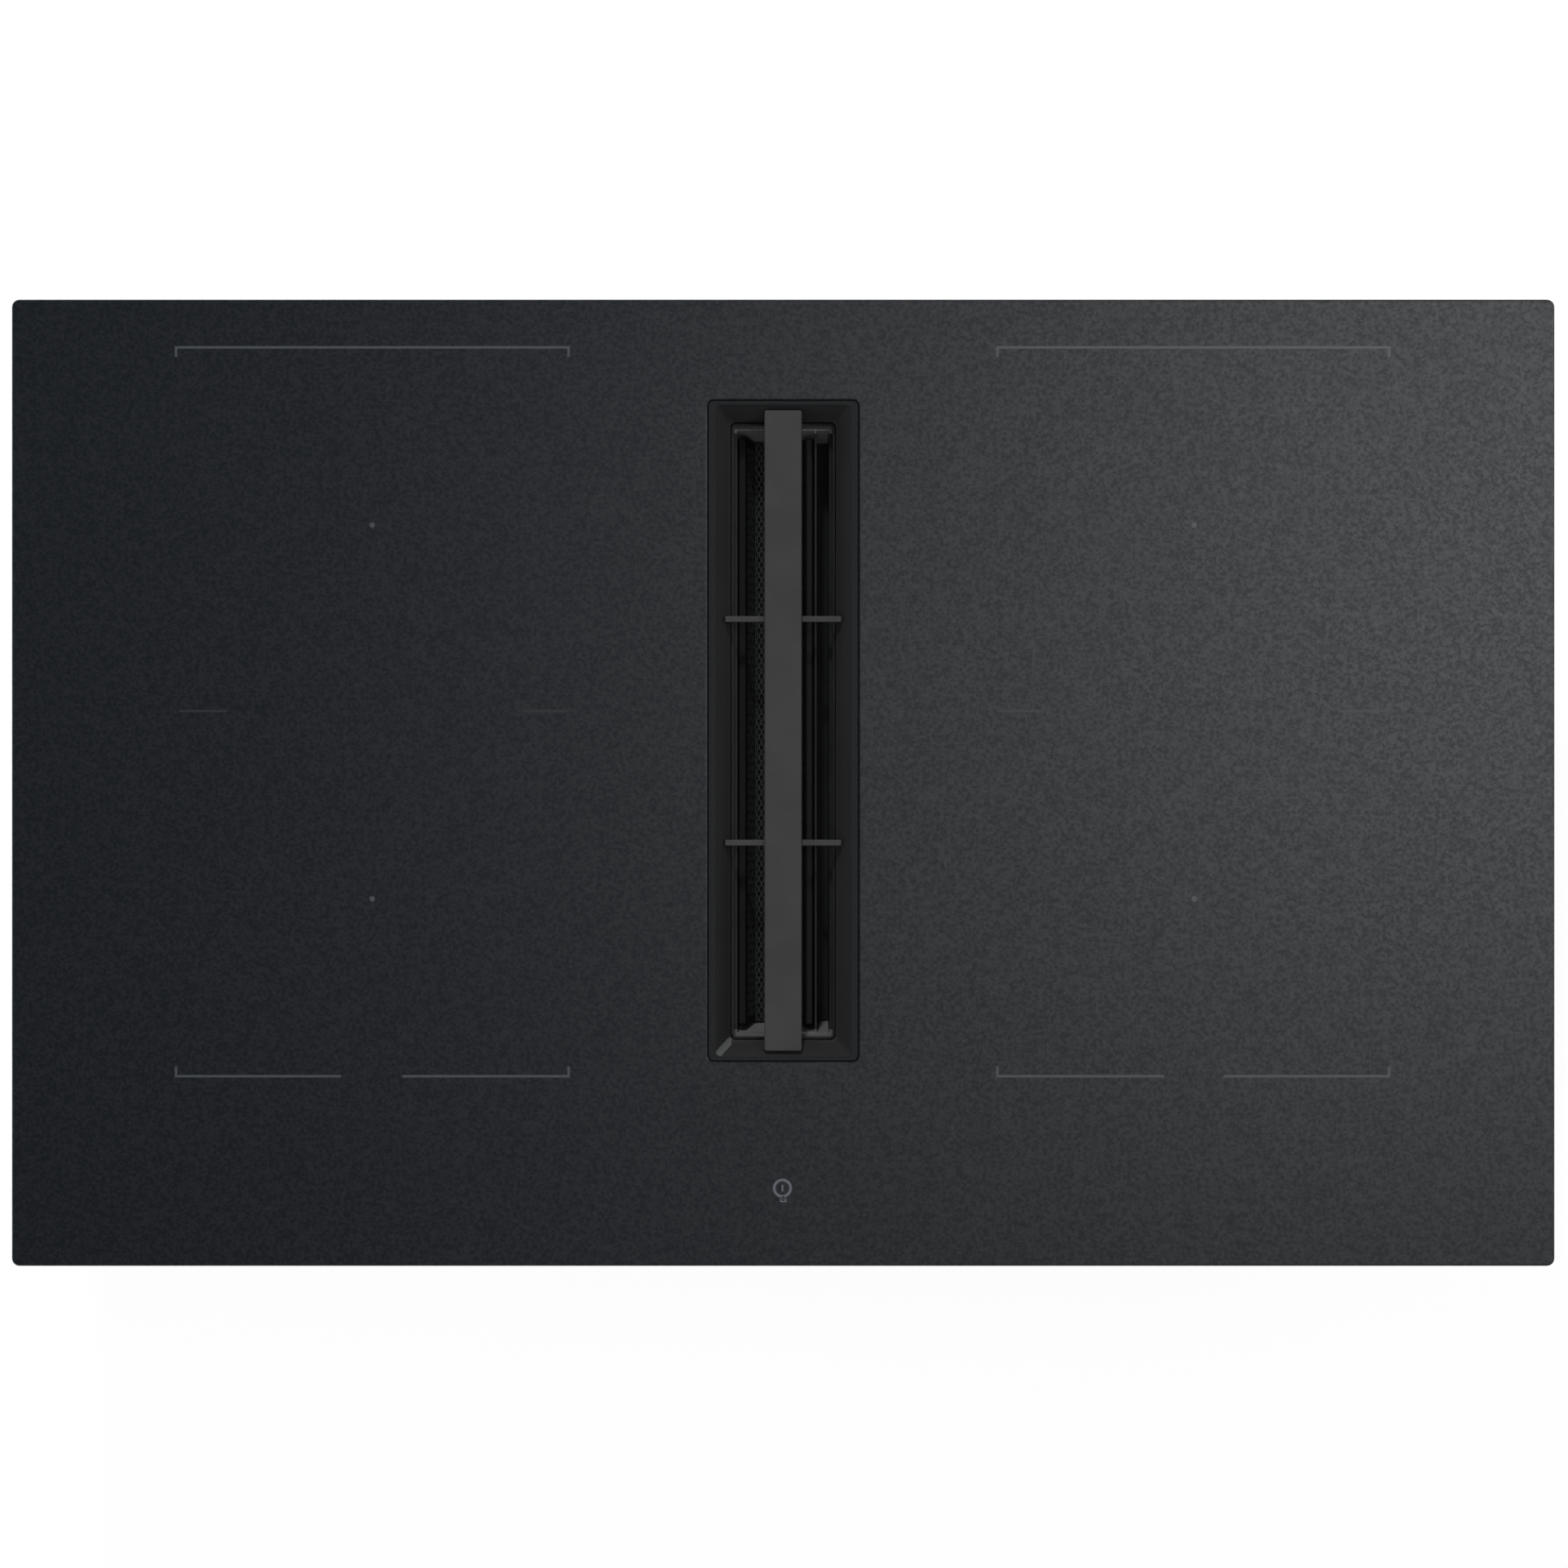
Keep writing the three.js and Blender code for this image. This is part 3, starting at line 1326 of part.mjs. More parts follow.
function blowerWheel() {
  const backPlate = wheelTop - wheelPlate;
  const body = turned([
    [bearingBore, hubFloor], [hubRadius, hubFloor], [hubRadius, backPlate], [wheelRadius, backPlate],
    [wheelRadius, wheelTop], [hubRadius - hubWall, wheelTop], [hubRadius - hubWall, hubFloorTop],
    [bearingBore, hubFloorTop],
  ], largeRound);
  const shroud = turned([
    [shroudInner, wheelBottom], [wheelRadius, wheelBottom],
    [wheelRadius, wheelBottom + wheelPlate], [shroudInner, wheelBottom + wheelPlate],
  ], largeRound);
  const middle = (bladeInner + bladeOuter) / 2;
  const bowed = bladeSweep / 2 - bladeBow;
  const blades = [];
  for (let i = 0; i < bladeCount; i++) {
    const angle = i * 2 * Math.PI / bladeCount;
    const edge = (radius, turn, side) => polar(radius, angle + turn + side * bladeThickness / 2 / radius);
    const outline = polygon([
      edge(bladeInner, 0, -1), edge(middle, bowed, -1), edge(bladeOuter, bladeSweep, -1),
      edge(bladeOuter, bladeSweep, 1), edge(middle, bowed, 1), edge(bladeInner, 0, 1),
    ]);
    blades.push(raised(outline, wheelBottom + wheelPlate / 2, wheelTop - wheelPlate / 2));
  }
  return join([body, shroud, ...blades]);
}

function motorRotor() {
  const floorTop = rotorBottom + rotorWall;
  return turned([
    [bearingBore, rotorBottom], [rotorRadius, rotorBottom], [rotorRadius, rotorTop],
    [rotorRadius - rotorWall, rotorTop], [rotorRadius - rotorWall, floorTop], [bearingBore, floorTop],
  ], largeRound);
}

function blowerShaft() {
  const nutTop = hubFloor - fitGap;
  return turned([
    [0, nutTop - shaftNutHeight], [shaftNut, nutTop - shaftNutHeight], [shaftNut, nutTop],
    [shaftRadius, nutTop], [shaftRadius, shaftTop], [0, shaftTop],
  ], smallRound);
}

function motorStator() {
  const tubeRadius = tubeBore + statorTubeWall;
  const stackBottom = tubeBottom + windingHeight + 2 * fitGap;
  const stackTop = stackBottom + statorStack;
  return turned([
    [tubeBore, tubeBottom], [tubeRadius, tubeBottom], [tubeRadius, stackBottom - windingHeight],
    [windingRadius, stackBottom - windingHeight], [windingRadius, stackBottom],
    [statorRadius, stackBottom], [statorRadius, stackTop], [windingRadius, stackTop],
    [windingRadius, stackTop + windingHeight], [tubeRadius, stackTop + windingHeight],
    [tubeRadius, statorFlangeBottom], [statorFlangeRadius, statorFlangeBottom],
    [statorFlangeRadius, statorTop], [0, statorTop], [0, statorFlangeBottom],
    [tubeBore, statorFlangeBottom],
  ], largeRound);
}

function bearing() {
  return turned([
    [bearingBore, 0], [bearingRadius, 0], [bearingRadius, bearingWidth], [bearingBore, bearingWidth],
  ]);
}

function addBlower(group) {
  addPiece(group, 'blower_wheel', blowerWheel(), paleWheel);
  addPiece(group, 'motor_rotor', motorRotor(), zincSteel);
  addPiece(group, 'blower_shaft', blowerShaft(), zincSteel);
  addPiece(group, 'motor_stator', motorStator(), aluminium);
  addPiece(group, 'bearing_lower', bearing(), zincSteel, 0, 0, tubeBottom);
  addPiece(group, 'bearing_upper', bearing(), zincSteel, 0, 0, shaftTop - bearingWidth);
  group.position.set(scrollX, scrollY, 0);
}

// ---------------------------------------------------------------- outlet

const spigotX = (outletLeft + outletRight) / 2;
const spigotZ = (partitionTop + housingTop) / 2;
const spigotFront = outletFaceY + fitGap;
const spigotBack = spigotFront + spigotFlange + spigotLength;
const pivotY = spigotFront + spigotFlange + flapInset;
const ductInnerWidth = ductWidth - 2 * ductWall;
const ductInnerHeight = ductHeight - 2 * ductWall;
const flapPitch = ductInnerHeight / flapCount;
const pivotTop = spigotZ + ductInnerHeight / 2 - flapTopGap;
const flapPivots = [
  { name: 'upper', z: pivotTop },
  { name: 'lower', z: pivotTop - flapPitch },
];

function outletSpigot() {
  const flange = rectangle(
    ductWidth + 2 * housingWall, housingTop - partitionTop - fitGap, 0,
    spigotX, spigotZ + fitGap / 2,
  );
  const duct = rectangle(ductWidth, ductHeight, ductCorner, spigotX, spigotZ);
  const bore = rectangle(ductInnerWidth, ductInnerHeight, ductCorner - ductWall, spigotX, spigotZ);
  const boreReach = ductWidth / 2 + overcut;
  return cut(
    join([
      alongY(flange, spigotFront, spigotFront + spigotFlange),
      alongY(duct, spigotFront + spigotFlange / 2, spigotBack),
    ]),
    [
      alongY(bore, spigotFront - overcut, spigotBack + overcut),
      ...flapPivots.map(({ z }) => discAlongX(
        flapPinRadius + fitGap, spigotX - boreReach, spigotX + boreReach, pivotY, z,
      )),
    ],
  );
}

// A flap hangs from its rod; its place is the middle of the rod's axis.
function backdraftFlap() {
  const half = ductInnerWidth / 2 - fitGap;
  const pinHalf = ductWidth / 2 - fitGap;
  const drop = flapPitch - flapTopGap - 2 * fitGap;
  return join([
    discAlongX(flapPinRadius, -pinHalf, pinHalf, 0, 0),
    discAlongX(flapRodRadius, -half, half, 0, 0),
    block(-half, half, -flapThickness / 2, flapThickness / 2, -drop, 0),
  ]);
}

function addOutlet(group) {
  addPiece(group, 'outlet_spigot', outletSpigot(), blackPlastic);
  for (const { name, z } of flapPivots) {
    addPiece(group, `backdraft_flap_${name}`, backdraftFlap(), greyPlastic, spigotX, pivotY, z);
  }
}

// ---------------------------------------------------------------- the whole cooktop

const cooktop = new THREE.Group();
const makers = [
  addBody, addInlet, addCassette, addInduction, addTouch,
  addMains, addClamps, addCasing, addBlower, addOutlet,
];
for (const make of makers) {
  const group = new THREE.Group();
  make(group);
  cooktop.add(group);
}

export default cooktop;
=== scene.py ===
import json
import math

import bpy
from mathutils import Matrix, Vector


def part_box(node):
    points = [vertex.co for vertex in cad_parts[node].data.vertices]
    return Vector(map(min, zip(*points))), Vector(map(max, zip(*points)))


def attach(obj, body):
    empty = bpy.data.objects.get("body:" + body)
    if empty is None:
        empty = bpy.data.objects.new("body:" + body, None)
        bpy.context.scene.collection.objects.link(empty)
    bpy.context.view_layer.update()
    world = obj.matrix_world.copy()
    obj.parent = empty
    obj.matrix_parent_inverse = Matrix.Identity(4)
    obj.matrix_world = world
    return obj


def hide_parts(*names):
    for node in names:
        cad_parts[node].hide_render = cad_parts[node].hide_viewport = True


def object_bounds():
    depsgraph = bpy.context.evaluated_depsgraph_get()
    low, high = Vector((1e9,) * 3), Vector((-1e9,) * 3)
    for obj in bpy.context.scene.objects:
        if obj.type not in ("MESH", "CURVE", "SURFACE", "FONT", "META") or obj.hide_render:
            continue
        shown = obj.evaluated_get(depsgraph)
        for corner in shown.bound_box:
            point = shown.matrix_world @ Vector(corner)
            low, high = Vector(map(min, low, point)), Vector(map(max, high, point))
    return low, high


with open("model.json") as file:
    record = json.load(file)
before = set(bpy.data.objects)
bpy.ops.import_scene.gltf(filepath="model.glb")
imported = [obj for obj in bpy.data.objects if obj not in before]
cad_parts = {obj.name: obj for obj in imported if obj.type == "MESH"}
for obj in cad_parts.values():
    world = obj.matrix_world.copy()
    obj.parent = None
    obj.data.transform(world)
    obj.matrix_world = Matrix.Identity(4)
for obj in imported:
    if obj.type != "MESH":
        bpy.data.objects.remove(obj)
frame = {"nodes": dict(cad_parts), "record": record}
cadLow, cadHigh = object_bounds()
nodes = frame["nodes"]
mm = 0.001  # pieces are written in millimetres and made in metres


def boxOf(node):  # lowest and highest corner of a node, in mm
    return [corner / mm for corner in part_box(node)]


# camera, lamps and floor

picture = {
    "height": 1500,  # camera above the glass
    "span": 843.2,  # width that the picture takes in on the glass
    "sensor": 36,
    "aside": 0.44,  # the glass lies a little off the middle of the picture
    "below": -0.66,
}
glassHigh = boxOf("glass_plate")[1]


def addCamera():
    place = Vector((picture["aside"], picture["below"], glassHigh.z + picture["height"])) * mm
    bpy.ops.object.camera_add(location=place, rotation=(0, 0, 0))
    camera = bpy.context.object
    camera.name = "overheadCamera"
    camera.data.sensor_width = picture["sensor"]
    camera.data.lens = picture["sensor"] * picture["height"] / picture["span"]
    camera.data.clip_start = 0.01
    camera.data.clip_end = 50
    bpy.context.scene.camera = camera


addCamera()

studio = {
    "floorSize": 14000, "floorDrop": 0.4, "floorPale": 0.8,
    "floorWhite": 0.94,  # how much of the floor's white is its own, and not the lamps'
    "overhead": 0.10, "horizon": 0.45,  # light of the room itself
    "horizonTo": 0.15, "overheadFrom": 0.70,  # heights between which one turns into the other
}
lamps = [  # size is across and up, all in mm; "mirrored" says whether it shows in reflections
    {"name": "softbox", "from": (1251, 417, 2313), "to": (100, 60, 210),
     "size": (1170, 1918), "power": 34.5, "mirrored": True},
    {"name": "keyBehind", "from": (-300, 2280, 2130), "to": (0, 25, 200),
     "size": (260, 260), "power": 115, "mirrored": False},
    {"name": "fillFront", "from": (-250, -1250, 2450), "to": (0, 25, 190),
     "size": (1500, 1300), "power": 14, "mirrored": False},
    {"name": "fillLeft", "from": (-2400, -300, 1710), "to": (0, 25, 190),
     "size": (1400, 1200), "power": 38, "mirrored": False},
    {"name": "fillOverhead", "from": (0, 25, 2800), "to": (0, 25.1, 190),
     "size": (400, 2600), "power": 14, "mirrored": False},
]


def addLamp(lamp):
    place = Vector(lamp["from"]) * mm
    towards = Vector(lamp["to"]) * mm - place
    bpy.ops.object.light_add(type="AREA", location=place, rotation=towards.to_track_quat("-Z", "Y").to_euler())
    made = bpy.context.object
    made.name = lamp["name"]
    made.data.shape = "RECTANGLE"
    made.data.size, made.data.size_y = (side * mm for side in lamp["size"])
    made.data.energy = lamp["power"]
    made.visible_glossy = lamp["mirrored"]
    made.visible_camera = False


for lamp in lamps:
    addLamp(lamp)


# shader writing

class Wire:  # a shader socket that can be added, multiplied and compared
    def __init__(self, finish, socket):
        self.finish = finish
        self.socket = socket

    def maths(self, operation, first, second=0.0):
        return self.finish.node("ShaderNodeMath", {"operation": operation}, {0: first, 1: second})

    def __add__(self, other):
        return self.maths("ADD", self, other)

    def __radd__(self, other):
        return self.maths("ADD", other, self)

    def __sub__(self, other):
        return self.maths("SUBTRACT", self, other)

    def __rsub__(self, other):
        return self.maths("SUBTRACT", other, self)

    def __mul__(self, other):
        return self.maths("MULTIPLY", self, other)

    def __rmul__(self, other):
        return self.maths("MULTIPLY", other, self)

    def __gt__(self, other):
        return self.maths("GREATER_THAN", self, other)

    def __lt__(self, other):
        return self.maths("LESS_THAN", self, other)


class Finish:  # one material, with a principled shader at its end
    def __init__(self, name):
        self.material = bpy.data.materials.new(name)
        self.material.use_nodes = True
        self.tree = self.material.node_tree
        self.shader = self.tree.nodes["Principled BSDF"]
        self.place = None

    def node(self, kind, settings=None, inputs=None, output=0):
        made = self.tree.nodes.new(kind)
        for name, value in (settings or {}).items():
            setattr(made, name, value)
        for name, value in (inputs or {}).items():
            self.feed(made.inputs[name], value)
        return Wire(self, made.outputs[output])

    def feed(self, socket, value):
        if isinstance(value, Wire):
            self.tree.links.new(value.socket, socket)
        else:
            socket.default_value = value

    def surface(self, **values):
        for name, value in values.items():
            self.feed(self.shader.inputs[name.replace("_", " ")], value)
        return self.material

    def coordinates(self, scale=(1, 1, 1)):
        if self.place is None:
            self.place = self.node("ShaderNodeTexCoord", output="Object")
        return self.node("ShaderNodeMapping", {}, {"Vector": self.place, "Scale": scale})

    def reach(self, axis):  # distance from the frame's origin along an axis
        return self.node("ShaderNodeSeparateXYZ", {}, {"Vector": self.coordinates()}, axis)

    def noise(self, size, detail=2.0, stretch=(1, 1, 1), roughness=0.5):  # size of the grain in mm
        scaled = [1 / (size * mm) * part for part in stretch]
        return self.node("ShaderNodeTexNoise", {}, {
            "Vector": self.coordinates(scaled), "Scale": 1.0, "Detail": detail, "Roughness": roughness,
        })

    def cells(self, size, feature="F1", output="Distance"):  # size of a cell in mm
        scaled = [1 / (size * mm)] * 3
        return self.node(
            "ShaderNodeTexVoronoi", {"feature": feature}, {"Vector": self.coordinates(scaled), "Scale": 1.0}, output,
        )

    def ramp(self, value, low, high, bottom=0.0, top=1.0):  # value from low to high becomes bottom to top
        return self.node("ShaderNodeMapRange", {}, {
            "Value": value, "From Min": low, "From Max": high, "To Min": bottom, "To Max": top,
        })

    def blend(self, share, first, second):
        first, second = (colour if isinstance(colour, Wire) else (*colour, 1) for colour in (first, second))
        return self.node("ShaderNodeMix", {"data_type": "RGBA"}, {"Factor": share, 6: first, 7: second}, 2)

    def bump(self, height, depth, strength=1.0):  # depth in mm
        return self.node(
            "ShaderNodeBump", {}, {"Height": height, "Distance": depth * mm, "Strength": strength},
        )


def speckledGlass():
    finish = Finish("speckledGlass")
    grain = finish.noise(1.9, 3.0, roughness=0.62)
    fleck = finish.ramp(finish.cells(1.3), 0.05, 0.42, 1.0, 0.0)
    shade = finish.ramp(grain, 0.40, 0.62)
    colour = finish.blend(shade, (0.0, 0.0010, 0.0024), (0.0020, 0.0030, 0.0045))
    colour = finish.blend(fleck * 0.2, colour, (0.005, 0.007, 0.010))
    gloss = finish.ramp(grain, 0.3, 0.7, 0.54, 0.46)
    return finish.surface(
        Base_Color=colour, Roughness=gloss, IOR=1.52, Specular_IOR_Level=0.34,
        Coat_Weight=finish.ramp(grain, 0.38, 0.64, 0.14, 0.51), Coat_Roughness=0.5, Coat_IOR=1.52,
        Normal=finish.bump(grain, 0.05, 0.30),
    )


def printedMark(name, level):
    finish = Finish(name)
    grain = finish.noise(0.5, 2.0)
    thin, full = ([level * part * 0.94, level * part * 1.06, level * part * 1.2] for part in (0.85, 1.15))
    return finish.surface(
        Base_Color=finish.blend(finish.ramp(grain, 0.35, 0.65), thin, full),
        Roughness=0.46 + grain * 0.08, IOR=1.52,
    )


def grillePaint():
    finish = Finish("grillePaint")
    fine = finish.noise(0.35, 2.0)
    cloud = finish.noise(22, 3.0)
    colour = finish.blend(finish.ramp(cloud, 0.35, 0.65), (0.0165, 0.0165, 0.0164), (0.0195, 0.0195, 0.0194))
    return finish.surface(
        Base_Color=finish.blend(fine * 0.12, colour, (0.038, 0.038, 0.038)),
        Roughness=finish.ramp(fine, 0.3, 0.7, 0.6, 0.72), Specular_IOR_Level=0.2,
        Normal=finish.bump(fine, 0.05, 0.35),
    )


slopes = {  # where the inlet's moulding is painted lighter or darker, standing in for light and shade
    "lipFrom": 209.25, "footHighlightBelow": 200.3,
    "mitreHighlight": 110.9, "mitreHalf": 2.7, "mitreRight": -28, "mitreBack": -138, "mitreLow": 199,  # painted highlight where the slopes meet at the front left
}


def inletMoulding():  # spark-eroded grain all over; the slopes are painted lighter than the dark lip above them, painted light for the light the slopes catch
    finish = Finish("inletMoulding")
    fine = finish.noise(0.5, 3.0, roughness=0.6)
    flow = finish.noise(45, 3.0)
    across, along, height = (finish.reach(axis) for axis in "XYZ")
    # above this height the lip keeps a darker colour than the slopes: painted shade
    paintedDarkLip = height > slopes["lipFrom"] * mm
    foot = height < slopes["footHighlightBelow"] * mm
    offMitre = across - along - slopes["mitreHighlight"] * mm  # where the slopes meet at the front left
    mitreHighlight = (offMitre < slopes["mitreHalf"] * mm) * (offMitre > -slopes["mitreHalf"] * mm)
    mitreHighlight = mitreHighlight * (across < slopes["mitreRight"] * mm) * (along < slopes["mitreBack"] * mm)
    mitreHighlight = mitreHighlight * (height > slopes["mitreLow"] * mm)
    # slope colour painted lighter than the lip: painted light
    slopeWithPaintedLight = finish.blend(finish.ramp(flow, 0.3, 0.7), (0.0078, 0.0079, 0.0079), (0.0093, 0.0094, 0.0094))
    # a narrow band at the foot of the slopes is painted lighter: a painted highlight
    slopeWithPaintedLight = finish.blend(foot, slopeWithPaintedLight, (0.0118, 0.0119, 0.0119))
    slopeWithPaintedLight = finish.blend(finish.ramp(fine, 0.55, 0.8, 0.0, 0.25), slopeWithPaintedLight, (0.018, 0.018, 0.018))
    # painted highlight on the front-left mitre
    slopeWithPaintedLight = finish.blend(mitreHighlight, slopeWithPaintedLight, (0.035, 0.036, 0.036))
    return finish.surface(
        Base_Color=finish.blend(paintedDarkLip, slopeWithPaintedLight, (0.0048, 0.0053, 0.0058)),
        Roughness=finish.ramp(fine, 0.3, 0.7, 0.62, 0.78), Specular_IOR_Level=0.22,
        Normal=finish.bump(fine, 0.03, 0.5),
    )


def moulding(name, dark, light, grain=0.9, depth=0.05, gloss=0.5):  # plastic with a spark-eroded grain
    finish = Finish(name)
    fine = finish.noise(grain, 3.0, roughness=0.6)
    flow = finish.noise(60, 3.0)
    colour = finish.blend(finish.ramp(flow, 0.3, 0.7), dark, light)
    colour = finish.blend(finish.ramp(fine, 0.55, 0.8, 0.0, 0.25), colour, [min(1, c * 1.9) for c in light])
    return finish.surface(
        Base_Color=colour, Roughness=finish.ramp(fine, 0.3, 0.7, gloss - 0.06, gloss + 0.1),
        Normal=finish.bump(fine, depth, 0.5),
    )


def foamSeal():
    finish = Finish("foamSeal")
    # the pores are painted darker than the foam around them: painted shade in the pores
    pores = finish.ramp(finish.cells(0.9), 0.1, 0.5)
    return finish.surface(
        Base_Color=finish.blend(pores, (0.006, 0.006, 0.0065), (0.022, 0.022, 0.023)), Roughness=0.9,
        Normal=finish.bump(pores, 0.15, 0.6),
    )


def zincSheet():
    finish = Finish("zincSheet")
    crystal = finish.node("ShaderNodeSeparateColor", {}, {"Color": finish.cells(7.0, output="Color")})
    drawn = finish.noise(0.6, 2.0, (1, 0.02, 1))
    cloud = finish.noise(90, 4.0)
    shade = crystal * 0.20 + cloud * 0.50 + drawn * 0.30
    return finish.surface(
        Base_Color=finish.blend(finish.ramp(shade, 0.3, 0.7), (0.33, 0.345, 0.355), (0.55, 0.565, 0.575)),
        Metallic=1.0, Roughness=finish.ramp(crystal * 0.4 + cloud * 0.6, 0.25, 0.75, 0.31, 0.45),
        Normal=finish.bump(drawn * 0.5 + crystal * 0.2, 0.02, 0.35),
    )


def rolledAluminium():
    finish = Finish("rolledAluminium")
    rolled = finish.noise(0.5, 3.0, (0.015, 1, 1))
    cloud = finish.noise(40, 3.0)
    return finish.surface(
        Base_Color=finish.blend(finish.ramp(cloud, 0.3, 0.7), (0.52, 0.53, 0.54), (0.66, 0.67, 0.68)), Metallic=1.0,
        Roughness=finish.ramp(rolled, 0.3, 0.7, 0.28, 0.42),
        Normal=finish.bump(rolled, 0.02, 0.4),
    )


def filterSteel(name, dark, light, metal=0.3, gloss=0.5, shine=0.5):
    finish = Finish(name)
    fine = finish.noise(0.4, 2.0)
    cloud = finish.noise(30, 3.0)
    drawn = finish.noise(0.5, 2.0, (1, 0.03, 1))
    return finish.surface(
        Base_Color=finish.blend(finish.ramp(cloud * 0.5 + drawn * 0.5, 0.3, 0.7), dark, light),
        Metallic=metal, Roughness=finish.ramp(fine, 0.3, 0.7, gloss - 0.06, gloss + 0.08),
        Specular_IOR_Level=shine, Normal=finish.bump(fine * 0.5 + drawn * 0.5, 0.03, 0.35),
    )


# where the cassette's ends are painted pale: painted light
paintedLightEnds = {"rearFrom": 190.5, "frontTo": -134.5, "top": 195.7}


def cassetteCoat():  # dark enamel on the long sides; both ends inside are painted pale as painted light, the rear paler than the front to make up for the light each end gets
    finish = Finish("cassetteCoat")
    fine = finish.noise(0.4, 2.0)
    cloud = finish.noise(30, 3.0)
    along, height = finish.reach("Y"), finish.reach("Z")
    inside = height < paintedLightEnds["top"] * mm
    enamel = finish.blend(finish.ramp(cloud, 0.3, 0.7), (0.0052, 0.0055, 0.0056), (0.0075, 0.0078, 0.008))
    # painted light: the rear end is painted paler than the front, which gets more light
    rear = finish.blend((along > paintedLightEnds["rearFrom"] * mm) * inside, enamel, (0.068, 0.068, 0.068))
    front = finish.blend((along < paintedLightEnds["frontTo"] * mm) * inside, rear, (0.047, 0.047, 0.047))
    return finish.surface(
        Base_Color=front, Roughness=finish.ramp(fine, 0.3, 0.7, 0.54, 0.68),
        Specular_IOR_Level=0.2, Normal=finish.bump(fine, 0.03, 0.35),
    )


def wirePad(name, level):  # crimped foil between the two sheets of a filter panel; its hollows are painted darker than its crests: painted shade
    finish = Finish(name)
    crimp = finish.ramp(finish.cells(1.7, "DISTANCE_TO_EDGE"), 0.02, 0.28)
    layer = finish.noise(3.2, 3.0)
    crest, shadedHollow = (0.24 * level, 0.25 * level, 0.25 * level), (0.05 * level, 0.052 * level, 0.052 * level)
    return finish.surface(
        Base_Color=finish.blend(crimp, crest, shadedHollow), Metallic=0.35, Specular_IOR_Level=0.2,
        Roughness=finish.ramp(layer, 0.3, 0.7, 0.42, 0.62), Normal=finish.bump(crimp * -0.7 + layer * 0.3, 0.8, 0.9),
    )


def copperWinding():
    finish = Finish("copperWinding")
    strand = finish.noise(1.2, 2.0, (1, 1, 0.4))
    cloud = finish.noise(25, 2.0)
    return finish.surface(
        Base_Color=finish.blend(finish.ramp(cloud, 0.3, 0.7), (0.30, 0.10, 0.045), (0.46, 0.19, 0.09)), Metallic=0.9,
        Roughness=finish.ramp(strand, 0.3, 0.7, 0.28, 0.5),
        Normal=finish.bump(strand, 0.2, 0.7),
    )


def ferriteFormer():
    finish = Finish("ferriteFormer")
    fine = finish.noise(0.8, 4.0)
    return finish.surface(
        Base_Color=finish.blend(finish.ramp(fine, 0.35, 0.65), (0.028, 0.027, 0.027), (0.05, 0.048, 0.047)),
        Roughness=finish.ramp(fine, 0.3, 0.7, 0.68, 0.85), Normal=finish.bump(fine, 0.1, 0.5),
    )


def boardLacquer():
    finish = Finish("boardLacquer")
    tracks = finish.ramp(finish.cells(3.4, "DISTANCE_TO_EDGE"), 0.05, 0.12)
    weave = finish.noise(0.5, 2.0)
    return finish.surface(
        Base_Color=finish.blend(tracks, (0.03, 0.13, 0.06), (0.012, 0.055, 0.03)),
        Roughness=finish.ramp(weave, 0.3, 0.7, 0.3, 0.42), Normal=finish.bump(tracks, 0.04, 0.6),
    )


def makeWhiteStage(name, level, share):  # white to the camera and in reflections, and a pale floor to the lamps
    material = bpy.data.materials.new(name)
    material.use_nodes = True
    tree = material.node_tree
    tree.nodes.clear()
    path = tree.nodes.new("ShaderNodeLightPath")
    seen = tree.nodes.new("ShaderNodeMath")
    seen.operation = "ADD"
    seen.use_clamp = True
    glossy = tree.nodes.new("ShaderNodeMath")
    glossy.operation = "ADD"
    tree.links.new(path.outputs["Is Glossy Ray"], glossy.inputs[0])
    tree.links.new(path.outputs["Is Transmission Ray"], glossy.inputs[1])
    tree.links.new(path.outputs["Is Camera Ray"], seen.inputs[0])
    tree.links.new(glossy.outputs[0], seen.inputs[1])
    portion = tree.nodes.new("ShaderNodeMath")
    portion.operation = "MULTIPLY"
    portion.inputs[1].default_value = share
    tree.links.new(seen.outputs[0], portion.inputs[0])
    pale = tree.nodes.new("ShaderNodeBsdfDiffuse")
    pale.inputs["Color"].default_value = (level, level, level, 1)
    white = tree.nodes.new("ShaderNodeEmission")
    mix = tree.nodes.new("ShaderNodeMixShader")
    side = tree.nodes.new("ShaderNodeNewGeometry")
    clear = tree.nodes.new("ShaderNodeBsdfTransparent")
    oneSided = tree.nodes.new("ShaderNodeMixShader")  # nothing hides the part from below
    end = tree.nodes.new("ShaderNodeOutputMaterial")
    tree.links.new(portion.outputs[0], mix.inputs[0])
    tree.links.new(pale.outputs[0], mix.inputs[1])
    tree.links.new(white.outputs[0], mix.inputs[2])
    tree.links.new(side.outputs["Backfacing"], oneSided.inputs[0])
    tree.links.new(mix.outputs[0], oneSided.inputs[1])
    tree.links.new(clear.outputs[0], oneSided.inputs[2])
    tree.links.new(oneSided.outputs[0], end.inputs["Surface"])
    return material


